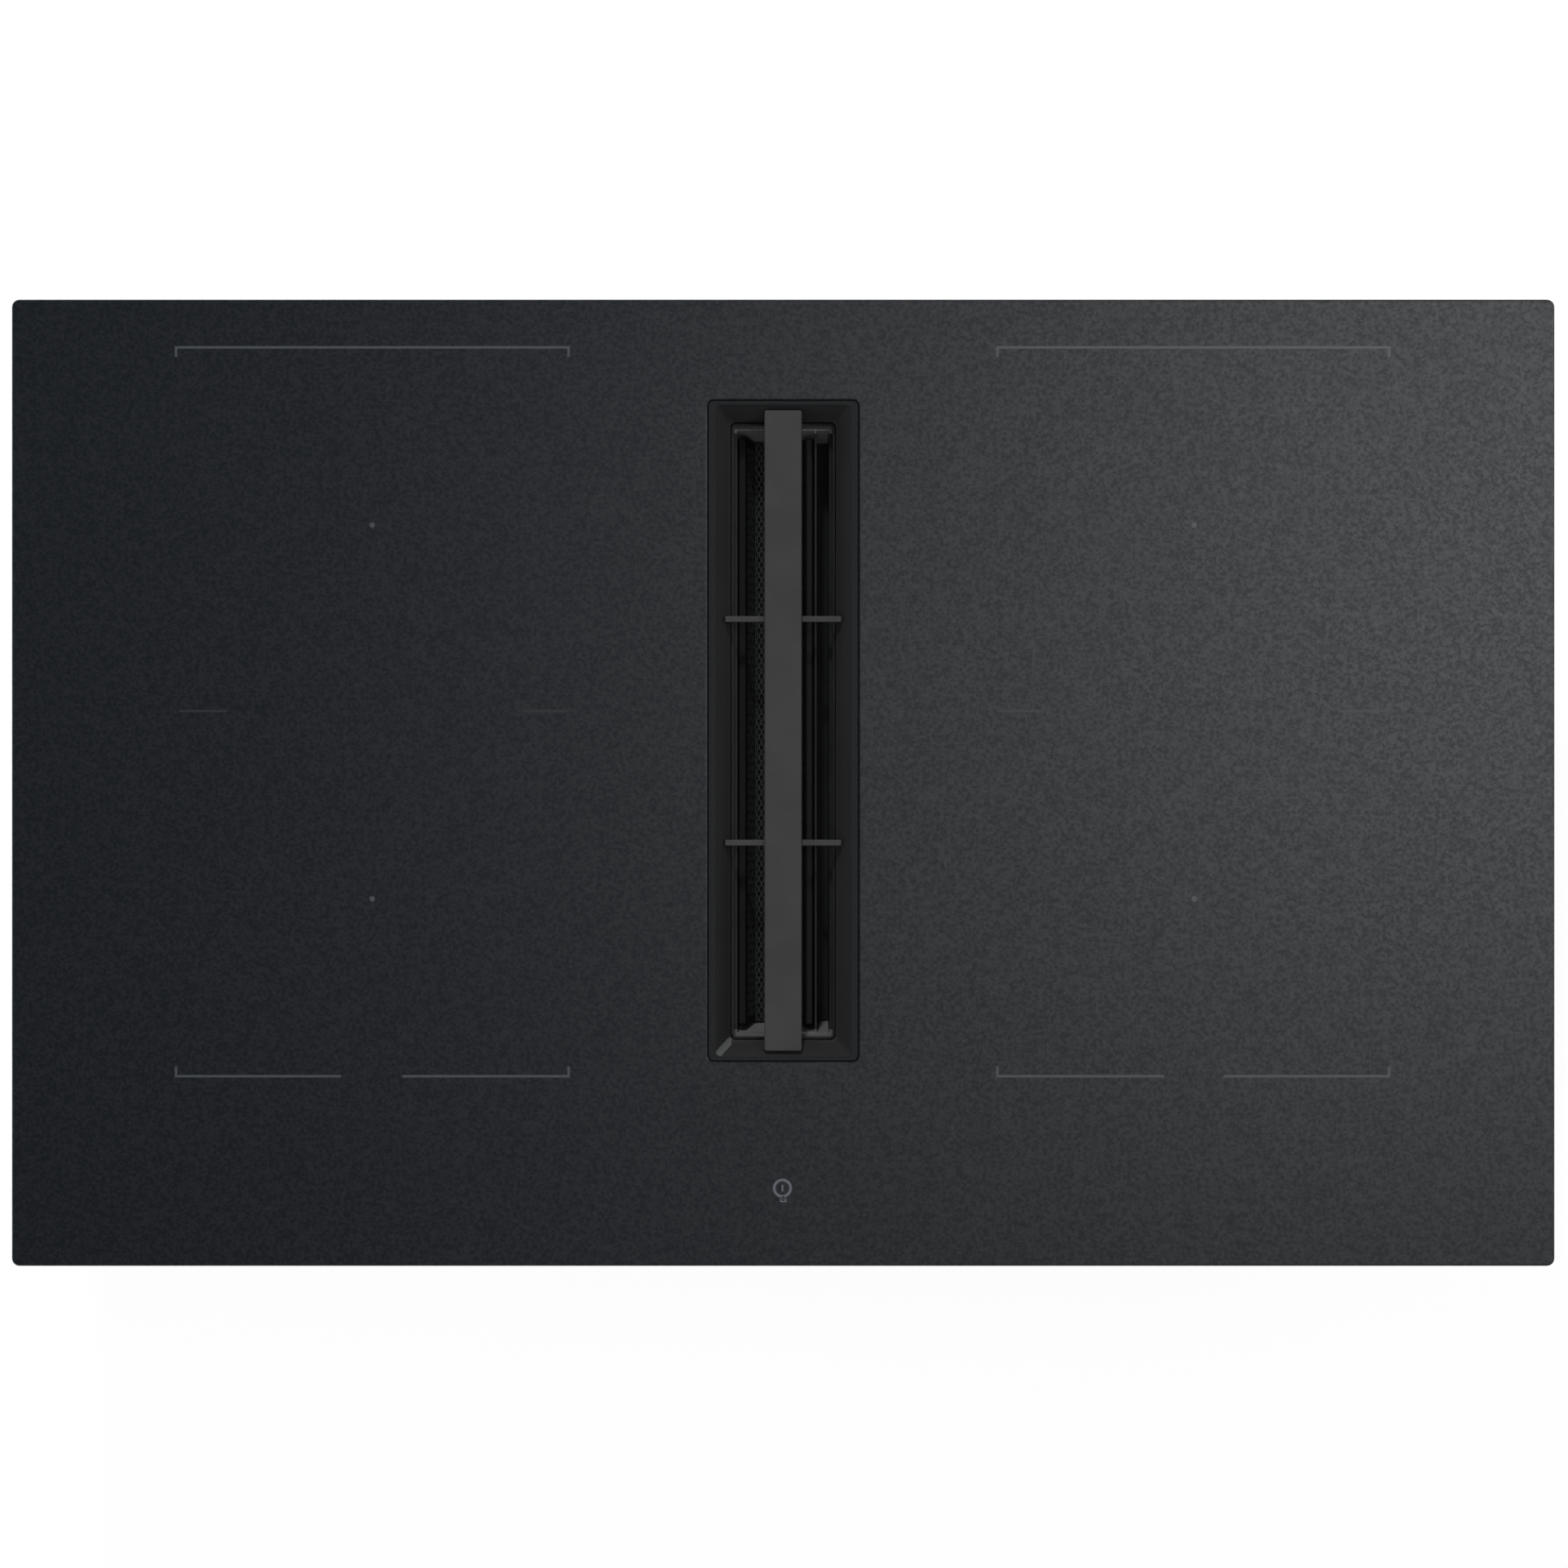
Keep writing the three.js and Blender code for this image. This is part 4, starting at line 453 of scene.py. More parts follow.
def addFloorAndWorld():
    half = studio["floorSize"] / 2 * mm
    bpy.ops.object.select_all(action="DESELECT")
    bpy.ops.mesh.primitive_plane_add(size=2 * half, location=(0, 0, cadLow.z - studio["floorDrop"] * mm))
    floor = bpy.context.object
    floor.name = "paleFloor"
    bpy.ops.object.transform_apply(location=True, rotation=True, scale=True)
    floor.data.materials.append(makeWhiteStage("paleFloor", studio["floorPale"], studio["floorWhite"]))
    world = bpy.data.worlds.new("paleRoom")
    bpy.context.scene.world = world
    world.use_nodes = True
    tree = world.node_tree
    path = tree.nodes.new("ShaderNodeLightPath")
    upward = tree.nodes.new("ShaderNodeTexCoord")
    height = tree.nodes.new("ShaderNodeSeparateXYZ")
    tree.links.new(upward.outputs["Generated"], height.inputs[0])
    room = tree.nodes.new("ShaderNodeMapRange")
    room.inputs["From Min"].default_value = studio["horizonTo"]
    room.inputs["From Max"].default_value = studio["overheadFrom"]
    room.inputs["To Min"].default_value = studio["horizon"]
    room.inputs["To Max"].default_value = studio["overhead"]
    tree.links.new(height.outputs["Z"], room.inputs["Value"])
    level = tree.nodes.new("ShaderNodeMath")
    level.operation = "MAXIMUM"
    tree.links.new(path.outputs["Is Camera Ray"], level.inputs[0])
    tree.links.new(room.outputs[0], level.inputs[1])
    tree.links.new(level.outputs[0], tree.nodes["Background"].inputs["Strength"])
    tree.nodes["Background"].inputs["Color"].default_value = (1, 1, 1, 1)


addFloorAndWorld()
bpy.context.scene.view_settings.view_transform = "Standard"
print("camera, lamps and floor ready")


# working in edit mode

shaping = {"weld": 0.004, "printWeld": 0.002, "flatness": 0.6, "rimAngle": 38, "smoothAngle": 32}  # mm and degrees


def deselectAll():
    if bpy.context.object and bpy.context.object.mode != "OBJECT":
        bpy.ops.object.mode_set(mode="OBJECT")
    bpy.ops.object.select_all(action="DESELECT")


def choose(piece):
    deselectAll()
    piece.select_set(True)
    bpy.context.view_layer.objects.active = piece


def settle(piece):  # origin at the frame's origin, unturned and unscaled
    choose(piece)
    bpy.ops.object.transform_apply(location=True, rotation=True, scale=True)


def addBlock(name, low, high):
    deselectAll()
    low, high = Vector(low), Vector(high)
    bpy.ops.mesh.primitive_cube_add(size=1, location=(low + high) / 2 * mm, scale=(high - low) * mm)
    block = bpy.context.object
    block.name = name
    settle(block)
    return block


def addRound(name, centre, radius, depth, sides):  # an upright disc with its centre in its middle
    deselectAll()
    bpy.ops.mesh.primitive_cone_add(
        vertices=sides, radius1=radius * mm, radius2=radius * mm, depth=depth * mm, location=Vector(centre) * mm,
    )
    made = bpy.context.object
    made.name = name
    settle(made)
    return made


def openAll(piece):  # edit mode with everything selected
    choose(piece)
    bpy.ops.object.mode_set(mode="EDIT")
    bpy.ops.mesh.select_all(action="SELECT")


def pick(piece, kind, test):  # test gets a place in mm, with a face's normal or an edge's way; stays in edit mode
    choose(piece)
    bpy.ops.object.mode_set(mode="EDIT")
    bpy.ops.mesh.select_mode(type=kind)
    bpy.ops.mesh.select_all(action="DESELECT")
    bpy.ops.object.mode_set(mode="OBJECT")
    mesh = piece.data
    if kind == "FACE":
        for face in mesh.polygons:
            face.select = bool(test(face.center / mm, face.normal))
    else:
        for edge in mesh.edges:
            one, other = (mesh.vertices[corner].co / mm for corner in edge.vertices)
            edge.select = bool(test((one + other) / 2, (other - one).normalized()))
    bpy.ops.object.mode_set(mode="EDIT")


def done():
    bpy.ops.object.mode_set(mode="OBJECT")


def finishModifier(piece, kind, **settings):
    choose(piece)
    modifier = piece.modifiers.new("shaping", kind)
    for name, value in settings.items():
        setattr(modifier, name, value)
    bpy.ops.object.modifier_apply(modifier=modifier.name)


def roundRims(piece, width, segments=2, angle=shaping["rimAngle"]):
    finishModifier(
        piece, "BEVEL", width=width * mm, segments=segments, limit_method="ANGLE",
        angle_limit=math.radians(angle), use_clamp_overlap=False, miter_outer="MITER_ARC",
    )


def smooth(piece, angle=shaping["smoothAngle"]):  # rounded rims shade softly and broad faces stay flat
    choose(piece)
    bpy.ops.object.shade_smooth_by_angle(angle=math.radians(angle))
    finishModifier(piece, "WEIGHTED_NORMAL", mode="FACE_AREA", weight=100, keep_sharp=True)


def cutWith(piece, tool):
    finishModifier(piece, "BOOLEAN", operation="DIFFERENCE", solver="EXACT", object=tool)
    bpy.data.objects.remove(tool)


def joinAll(name, parts):
    deselectAll()
    for part in parts:
        part.select_set(True)
    bpy.context.view_layer.objects.active = parts[0]
    if len(parts) > 1:
        bpy.ops.object.join()
    parts[0].name = name
    return parts[0]


def copyOf(piece, name, move, turn, axis=(0, 0, 1)):  # own mesh; turn in degrees
    twin = piece.copy()
    twin.data = piece.data.copy()
    twin.name = name
    bpy.context.scene.collection.objects.link(twin)
    swing = Matrix.Rotation(math.radians(turn), 4, Vector(axis))
    twin.matrix_world = Matrix.Translation(Vector(move) * mm) @ swing
    settle(twin)
    return twin


bodyOf = {node: body for body, members in frame["record"]["behaviour"]["bodies"].items() for node in members}


def fit(piece, slotName, node, material=None, stands=False):  # the piece rides with a node, and may stand for it
    piece.data.materials.clear()
    piece.data.materials.append(material or finishes[slotName])
    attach(piece, bodyOf[node])
    if stands:
        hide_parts(node)
    return piece


def traced(node, name, rim, segments=2, angle=shaping["smoothAngle"]):  # the node's form with its rims rounded
    deselectAll()
    piece = bpy.data.objects.new(name, nodes[node].data.copy())
    bpy.context.scene.collection.objects.link(piece)
    choose(piece)
    bpy.ops.mesh.customdata_custom_splitnormals_clear()
    openAll(piece)
    bpy.ops.mesh.remove_doubles(threshold=shaping["weld"] * mm)
    flatness = math.radians(shaping["flatness"])
    bpy.ops.mesh.tris_convert_to_quads(face_threshold=flatness, shape_threshold=math.radians(60))
    done()
    roundRims(piece, rim, segments)
    smooth(piece, angle)
    return piece


def standIn(node, name, slotName, rim, material=None, **look):  # the traced form takes the node's place
    return fit(traced(node, name, rim, **look), slotName, node, material, stands=True)


# finishes by the name of their slot
finishes = {
    "ceramic_glass": speckledGlass(),
    "grille_paint": grillePaint(),
    "vent_plastic": inletMoulding(),
    "casing_plastic": moulding("casingMoulding", (0.014, 0.0145, 0.015), (0.021, 0.0215, 0.022)),
    "grey_plastic": moulding("greyMoulding", (0.080, 0.085, 0.089), (0.10, 0.105, 0.11)),
    "seal_rubber": foamSeal(),
    "zinc_steel": zincSheet(),
    "bright_aluminium": rolledAluminium(),
    "filter_metal": filterSteel("filterSteel", (0.0068, 0.0075, 0.0075), (0.0095, 0.0102, 0.0102), 0.0, 0.6, 0.2),
    "coil_wire": copperWinding(),
    "ferrite": ferriteFormer(),
    "circuit_board": boardLacquer(),
    "wheel_plastic": moulding("wheelMoulding", (0.036, 0.038, 0.040), (0.048, 0.050, 0.052)),
}
print("finishes ready")

# the glass and what is printed on it
glass = {
    "rim": 0.25,
    "printHeight": 0.03,
    "line": 1.4,  # width of the zone brackets
    "tick": 5.2,
    "topLine": 234.15, "bottomLine": -157.78,
    "leftBracket": (-326.5, -115.4), "rightBracket": (115.2, 325.9),
    "leftBreak": (-237.7, -204.8), "rightBreak": (204.8, 236.9),
    "midLine": 38.6, "midTicks": ((-325.0, -298.7), (-140.7, -115.4), (115.2, 140.2), (298.2, 325.9)),
    "dots": ((-221, 138.6), (221, 138.6), (-221, -62.4), (221, -62.4)), "dotRadius": 1.5,
    "power": (-0.4, -218.0), "ring": 5.15, "ringLine": 1.45, "pointer": (1.0, 3.4),
    "lock": ((-1.8, -223.7), (3.6, 1.8)), "shackle": 1.2, "shackleLine": 0.55, "shackleRise": 0.1,
}


def addStroke(left, right, front, back):  # a flat printed line on the glass
    deselectAll()
    bpy.ops.mesh.primitive_plane_add(
        size=1, location=Vector(((left + right) / 2, (front + back) / 2, glassHigh.z + glass["printHeight"])) * mm,
    )
    line = bpy.context.object
    line.scale = ((right - left) * mm, (back - front) * mm, 1)
    settle(line)
    return line


def addBracket(side, line, inward):  # a long line with a tick at each end, broken where it has a gap
    half = glass["line"] / 2
    left, right = glass[side + "Bracket"]
    at = glass[line]
    spans = [(left - half, right + half)]
    if line == "bottomLine":
        gap = glass[side + "Break"]
        spans = [(left - half, gap[0]), (gap[1], right + half)]
    parts = [addStroke(start, end, at - half, at + half) for start, end in spans]
    front, back = sorted((at + inward * half, at + inward * glass["tick"]))
    for end in (left, right):
        parts.append(addStroke(end - half, end + half, front, back))
    return parts


def finishPrint(name, parts, material):
    mark = joinAll(name, parts)
    openAll(mark)
    bpy.ops.mesh.remove_doubles(threshold=shaping["printWeld"] * mm)
    openAll(mark)
    bpy.ops.mesh.extrude_region_move(TRANSFORM_OT_translate={"value": (0, 0, -glass["printHeight"] * mm * 0.8)})
    bpy.ops.mesh.select_all(action="SELECT")
    bpy.ops.mesh.normals_make_consistent(inside=False)
    done()
    return fit(mark, "ceramic_glass", "glass_plate", material)


def addHoop(x, y, radius, line):  # a flat printed ring
    deselectAll()
    bpy.ops.mesh.primitive_circle_add(
        vertices=40, radius=radius * mm, fill_type="NGON",
        location=Vector((x, y, glassHigh.z + glass["printHeight"])) * mm,
    )
    hoop = bpy.context.object
    settle(hoop)
    bpy.ops.object.mode_set(mode="EDIT")
    bpy.ops.mesh.select_mode(type="FACE")
    bpy.ops.mesh.select_all(action="SELECT")
    bpy.ops.mesh.inset(thickness=line * mm)
    bpy.ops.mesh.delete(type="FACE")
    done()
    return hoop


def addTouchMarks(ink):
    x, y = glass["power"]
    width, length = glass["pointer"]
    top = y + length / 2
    finishPrint("powerRing", [addHoop(x, y, glass["ring"], glass["ringLine"])], ink)
    finishPrint("powerPointer", [addStroke(x - width / 2, x + width / 2, top - length, top)], ink)
    (left, front), (wide, deep) = glass["lock"]
    body = addStroke(left, left + wide, front - deep, front)
    hoop = addHoop(left + wide / 2, front + glass["shackleRise"], glass["shackle"], glass["shackleLine"])
    finishPrint("lockMark", [body, hoop], ink)


def addGlass():
    standIn("glass_plate", "glassPlate", "ceramic_glass", glass["rim"])
    ink = printedMark("bracketInk", 0.0225)
    paleInk = printedMark("faintInk", 0.0078)
    for side in ("left", "right"):
        finishPrint(side + "RearBracket", addBracket(side, "topLine", -1), ink)
        finishPrint(side + "FrontBracket", addBracket(side, "bottomLine", 1), ink)
    front, back = glass["midLine"] - glass["line"] / 2, glass["midLine"] + glass["line"] / 2
    for count, (left, right) in enumerate(glass["midTicks"]):
        finishPrint(f"zoneDivider{count}", [addStroke(left, right, front, back)], paleInk)
    addTouchMarks(printedMark("symbolInk", 0.045))
    for count, (x, y) in enumerate(glass["dots"]):
        dot = addRound(f"zoneDot{count}", (x, y, glassHigh.z + glass["printHeight"] * 0.6), glass["dotRadius"],
                       glass["printHeight"] * 0.8, 24)
        smooth(dot)
        fit(dot, "ceramic_glass", "glass_plate", ink)


addGlass()
print("glass and its print ready")

# frame of the air inlet, its seal and the grille
inlet = {"frameRim": 0.3, "sealRim": 0.2, "barRim": 0.3, "rodRim": 0.35}


def addInlet():
    standIn("vent_frame", "inletFrame", "vent_plastic", inlet["frameRim"])
    standIn("vent_gasket", "inletSeal", "seal_rubber", inlet["sealRim"])
    standIn("grille_bar", "grilleBar", "grille_paint", inlet["barRim"])
    for end in ("front", "rear"):
        standIn("grille_rod_" + end, end + "GrilleRod", "grille_paint", inlet["rodRim"])


addInlet()
print("inlet and grille ready")

# grease filter: two leaning panels of expanded metal in the cassette
cassette = {
    "rim": 0.2,
    "cellLength": 9.0, "cellWidth": 4.6,  # of one diamond
    "strand": 0.8, "sheet": 0.7, "sheetInset": 1.5,
    # the panel rims are painted darker than the mesh: painted shade
    "rimWidth": 4.5, "rimDepth": 3.9, "rimSlack": 0.2, "rimFold": 0.9, "rimPaintedShade": 0.0042,
    "layers": (-1.35, 1.35), "pad": 1.6, "padInset": 3, "padCuts": 24,
    "plateSheet": 0.3, "plateTop": 0.6, "plateFoot": 1.5, "plateSide": 3.2, "plateGap": 0.05,
    # end plate colours are painted light, the rear paler than the front
    "platePaintedLight": {"front": 0.050, "rear": 0.105},
    "screenHeight": 167, "screenSag": 1.5, "screenCell": (3.0, 5.6), "screenStrand": 0.75,
    "screenInset": (2.1, 0.6), "screenBack": (-1.4, -0.5), "screenCuts": 12,
}


def leanOf(node):  # middle of a panel's foot and head, in X and Z
    ends = sorted({(round(corner.co.z / mm, 2), round(corner.co.x / mm, 2)) for corner in nodes[node].data.vertices})
    foot = Vector((ends[0][1] + ends[1][1], 0, ends[0][0] + ends[1][0])) / 2
    head = Vector((ends[-1][1] + ends[-2][1], 0, ends[-1][0] + ends[-2][0])) / 2
    return foot, head


def addLattice(name, width, length, height, across, along, strand):  # diamonds over width (X) and length (Y)
    deselectAll()
    count = 2 * math.ceil((width / across + length / along) / 2) + 4
    bpy.ops.mesh.primitive_grid_add(x_subdivisions=count, y_subdivisions=count, size=count, location=(0, 0, 0))
    sheet = bpy.context.object
    sheet.name = name
    sheet.rotation_euler = (0, 0, math.pi / 4)
    settle(sheet)
    sheet.scale = (across / math.sqrt(2) * mm, along / math.sqrt(2) * mm, 1)
    sheet.location = (0, 0, height * mm)
    settle(sheet)
    bpy.ops.object.mode_set(mode="EDIT")
    half, deep = width / 2, length / 2
    for normal, reach in (((1, 0, 0), half), ((-1, 0, 0), half), ((0, 1, 0), deep), ((0, -1, 0), deep)):
        bpy.ops.mesh.select_all(action="SELECT")
        bpy.ops.mesh.bisect(plane_co=Vector(normal) * reach * mm, plane_no=normal, clear_outer=True)
    bpy.ops.mesh.select_mode(type="FACE")
    bpy.ops.mesh.select_all(action="SELECT")
    bpy.ops.mesh.inset(thickness=strand / 2 * mm, use_individual=True, use_even_offset=True)
    bpy.ops.mesh.delete(type="FACE")
    done()
    finishModifier(sheet, "SOLIDIFY", thickness=cassette["sheet"] * mm, offset=0)
    return sheet


def addRimFrame(name, width, length, thickness, border):
    deselectAll()
    bpy.ops.mesh.primitive_plane_add(size=1, location=(0, 0, 0))
    frameRim = bpy.context.object
    frameRim.name = name
    frameRim.scale = (width * mm, length * mm, 1)
    settle(frameRim)
    openAll(frameRim)
    bpy.ops.mesh.inset(thickness=border * mm)
    bpy.ops.mesh.delete(type="FACE")
    done()
    finishModifier(frameRim, "SOLIDIFY", thickness=thickness * mm, offset=0)
    roundRims(frameRim, cassette["rimFold"], 3)
    return frameRim


def addFilterPanel(side):
    node = "filter_mesh_" + side
    foot, head = leanOf(node)
    low, high = boxOf(node)
    width, length = (head - foot).length, high.y - low.y
    slack, margin, inset = cassette["rimSlack"], 2 * cassette["sheetInset"], cassette["padInset"]
    rim = addRimFrame(side + "PanelRim", width - slack, length - slack, cassette["rimDepth"], cassette["rimWidth"])
    panel = joinAll(side + "FilterPanel", [
        addLattice(f"{side}Lattice{layer}", width - margin, length - margin - layer, height,
                   cassette["cellWidth"], cassette["cellLength"], cassette["strand"])
        for layer, height in enumerate(cassette["layers"])
    ])
    pad = addBlock(side + "FilterPad", (-width / 2 + inset, -length / 2 + inset, -cassette["pad"] / 2),
                   (width / 2 - inset, length / 2 - inset, cassette["pad"] / 2))
    openAll(pad)
    bpy.ops.mesh.subdivide(number_cuts=cassette["padCuts"])
    bpy.ops.mesh.vertices_smooth(factor=0.4)
    done()
    middle = (foot + head) / 2
    rise = math.atan2(head.z - foot.z, head.x - foot.x)
    for piece in (panel, rim, pad):
        piece.rotation_euler = (0, -rise, 0)
        piece.location = Vector((middle.x, (low.y + high.y) / 2, middle.z)) * mm
        settle(piece)
        smooth(piece, 40)
    fit(panel, "filter_metal", node, stands=True)
    # painted shade: the rims are darker than the mesh they frame
    shade = cassette["rimPaintedShade"]
    fit(rim, "filter_metal", node, filterSteel(side + "RimSteel", [shade] * 3, [shade * 1.3] * 3, 0.0, 0.65, 0.1))
    fit(pad, "filter_metal", node, wirePad(side + "PanelPad", 0.05))


def addScreen():  # a sagging sheet of fine expanded metal that hangs between the two panels
    height = cassette["screenHeight"]
    sideInset, endInset = cassette["screenInset"]
    edges = []
    for side, sign in (("left", 1), ("right", -1)):
        foot, head = leanOf("filter_mesh_" + side)
        share = (height - foot.z) / (head.z - foot.z)
        edges.append(foot.x + (head.x - foot.x) * share + sign * sideInset)
    low, high = boxOf("filter_mesh_left")
    width, length = edges[1] - edges[0], high.y - low.y - endInset
    across, along = cassette["screenCell"]
    lattice = addLattice("filterScreen", width, length, 0, across, along, cassette["screenStrand"])
    under, over = cassette["screenBack"]
    backing = addBlock("screenBacking", (-width / 2, -length / 2, under), (width / 2, length / 2, over))
    openAll(backing)
    bpy.ops.mesh.subdivide(number_cuts=cassette["screenCuts"])
    done()
    for piece, finish in ((lattice, None), (backing, wirePad("screenPad", 0.035))):
        for corner in piece.data.vertices:
            share = 2 * corner.co.x / mm / width
            corner.co.z -= cassette["screenSag"] * (1 - share * share) * mm
        piece.location = Vector((sum(edges) / 2, (low.y + high.y) / 2, height)) * mm
        settle(piece)
        smooth(piece, 40)
        fit(piece, "filter_metal", "cassette_frame", finish)


def addEndPlate(end, sign):  # pale lining on the leaning part of an end wall; its paleness is painted light, the rear plate paler than the front to make up for the light each end gets
    low, high = boxOf("cassette_frame")
    mesh = nodes["cassette_frame"].data
    leaning = (face for face in mesh.polygons if -face.normal.y * sign > 0.95 and 0.05 < face.normal.z < 0.5)
    widest = max(leaning, key=lambda face: face.area)
    corners = [mesh.vertices[corner].co / mm for corner in widest.vertices]
    top, bottom = max(corners, key=lambda corner: corner.z), min(corners, key=lambda corner: corner.z)
    half = min(abs(low.x), high.x) - cassette["plateSide"]
    plate = addBlock(end + "EndPlate", (-half, 0, bottom.z + cassette["plateFoot"]),
                     (half, cassette["plateSheet"], top.z - cassette["plateTop"]))
    lean = (top.y - bottom.y) / (top.z - bottom.z)
    for corner in plate.data.vertices:
        place = corner.co / mm
        corner.co.y = (bottom.y + (place.z - bottom.z) * lean - sign * (cassette["plateGap"] + place.y)) * mm
    choose(plate)
    bpy.ops.object.mode_set(mode="EDIT")
    bpy.ops.mesh.select_mode(type="EDGE")
    bpy.ops.mesh.select_all(action="SELECT")
    bpy.ops.mesh.normals_make_consistent(inside=False)
    done()
    roundRims(plate, 0.1, 1)
    smooth(plate)
    # painted light: each end's plate gets its own paleness
    shade = cassette["platePaintedLight"][end]
    steel = filterSteel(end + "PlateSteel", [shade] * 3, [shade * 1.2] * 3, 0.0, 0.6, 0.3)
    fit(plate, "filter_metal", "cassette_frame", steel)


def addCassette():
    standIn("cassette_frame", "cassetteFrame", "filter_metal", cassette["rim"], material=cassetteCoat())
    steel = filterSteel("troughSteel", (0.16, 0.165, 0.165), (0.23, 0.235, 0.235))
    standIn("drip_trough", "dripTrough", "filter_metal", cassette["rim"], material=steel)
    addEndPlate("front", -1)
    addEndPlate("rear", 1)
    for side in ("left", "right"):
        addFilterPanel(side)
    addScreen()


addCassette()
print("filter cassette ready")

# screws are made once and copied
screw = {"radius": 3.0, "height": 1.7, "dome": 0.28, "recess": 0.9, "slotWidth": 0.9, "slotLength": 3.6}


def makeScrew():
    head = addRound("screwPattern", (0, 0, screw["height"] / 2), screw["radius"], screw["height"], 24)
    pick(head, "FACE", lambda place, normal: normal.z > 0.9)
    bpy.ops.mesh.bevel(offset=screw["radius"] * screw["dome"] * mm, segments=3)
    done()
    half, width = screw["slotLength"] / 2, screw["slotWidth"] / 2
    low = screw["height"] - screw["recess"]
    cutWith(head, addBlock("slotAcross", (-half, -width, low), (half, width, 9)))
    cutWith(head, addBlock("slotAlong", (-width, -half, low), (width, half, 9)))
    smooth(head)
    return head


screwPattern = makeScrew()
facing = {  # turn and axis that bring a screw's head from +Z to a direction
    "+X": (90, (0, 1, 0)), "-X": (-90, (0, 1, 0)), "+Y": (-90, (1, 0, 0)), "-Y": (90, (1, 0, 0)),
    "-Z": (180, (1, 0, 0)),
}


def addScrews(name, places, way, node):
    turn, axis = facing[way]
    heads = [copyOf(screwPattern, f"{name}{count}", place, turn, axis=axis) for count, place in enumerate(places)]
    return fit(joinAll(name, heads), "zinc_steel", node)


# frame below the glass, its seal and the steel pan
body = {
    "frameRim": 0.35, "panRim": 0.5, "sealRim": 0.6, "wellRim": 0.4,
    "sideScrews": (-150, 0, 150), "endScrews": (-300, -150, 0, 150, 300), "screwHeight": 196,
    "beads": ((-350, -190, 130, 210), (-350, -100, 60, 118), (-350, -100, -20, 38), (-350, -100, -100, -42)),
    "beadDepth": 1.4, "beadCorner": 9, "beadTaper": (0.97, 0.93, 1), "beadSteps": (7, 2.5), "beadRim": 0.5,
}


def addPanBead(name, left, right, front, back, low):  # a swage pressed outwards in the floor of the pan
    bead = addBlock(name, (left, front, low - body["beadDepth"]), (right, back, low + 0.3))
    pick(bead, "EDGE", lambda place, way: abs(way.z) > 0.9)
    bpy.ops.mesh.bevel(offset=body["beadCorner"] * mm, segments=6)
    done()
    pick(bead, "FACE", lambda place, normal: normal.z < -0.9)
    bpy.ops.transform.resize(value=body["beadTaper"], center_override=(
        (left + right) / 2 * mm, (front + back) / 2 * mm, (low - body["beadDepth"]) * mm))
    for step in body["beadSteps"]:
        bpy.ops.mesh.inset(thickness=step * mm)
    bpy.ops.transform.translate(value=(0, 0, body["beadDepth"] * 0.8 * mm))
    done()
    roundRims(bead, body["beadRim"], angle=20)
    smooth(bead)
    return fit(bead, "zinc_steel", "base_pan")


def addBody():
    standIn("worktop_seal", "worktopSeal", "seal_rubber", body["sealRim"])
    standIn("glass_frame", "glassFrame", "zinc_steel", body["frameRim"])
    standIn("base_pan", "basePan", "zinc_steel", body["panRim"])
    standIn("air_well", "airWell", "casing_plastic", body["wellRim"])
    low, high = boxOf("glass_frame")
    height = body["screwHeight"]
    addScrews("frameScrewsLeft", [(low.x, y, height) for y in body["sideScrews"]], "-X", "glass_frame")
    addScrews("frameScrewsRight", [(high.x, y, height) for y in body["sideScrews"]], "+X", "glass_frame")
    addScrews("frameScrewsFront", [(x, low.y, height) for x in body["endScrews"]], "-Y", "glass_frame")
    addScrews("frameScrewsBack", [(x, high.y, height) for x in body["endScrews"]], "+Y", "glass_frame")
    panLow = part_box("base_pan")[0].z / mm
    for count, (left, right, front, back) in enumerate(body["beads"]):
        addPanBead(f"panBead{count}", left, right, front, back, panLow)


addBody()
print("body ready")

# worktop clamps and the mains connection
fixings = {
    "clampRim": 0.5, "screwRim": 0.25, "coverRim": 0.5, "glandRim": 0.4,
    "driveHalf": 0.6, "driveDepth": 1.6,  # cross recess in the clamp screws
}


def addFixings():
    for end in ("front", "rear"):
        for side in ("left", "right"):
            tag = f"{end}_{side}"
            name = end + side.title() + "Clamp"
            standIn("clamp_" + tag, name, "zinc_steel", fixings["clampRim"])
            shank = traced("clamp_screw_" + tag, name + "Screw", fixings["screwRim"])
            low, high = boxOf("clamp_screw_" + tag)
            middle = (low + high) / 2
            reach, narrow = screw["slotLength"] / 2 + 1, fixings["driveHalf"]
            for wide, deep in ((reach, narrow), (narrow, reach)):
                cutWith(shank, addBlock("drive", (middle.x - wide, middle.y - deep, low.z - 1),
                                        (middle.x + wide, middle.y + deep, low.z + fixings["driveDepth"])))
            fit(shank, "zinc_steel", "clamp_screw_" + tag, stands=True)
    standIn("terminal_cover", "terminalCover", "zinc_steel", fixings["coverRim"])
    standIn("cable_gland", "cableGland", "grey_plastic", fixings["glandRim"])
    standIn("terminal_block", "terminalBlock", "grey_plastic", fixings["glandRim"])


addFixings()
print("clamps and mains connection ready")

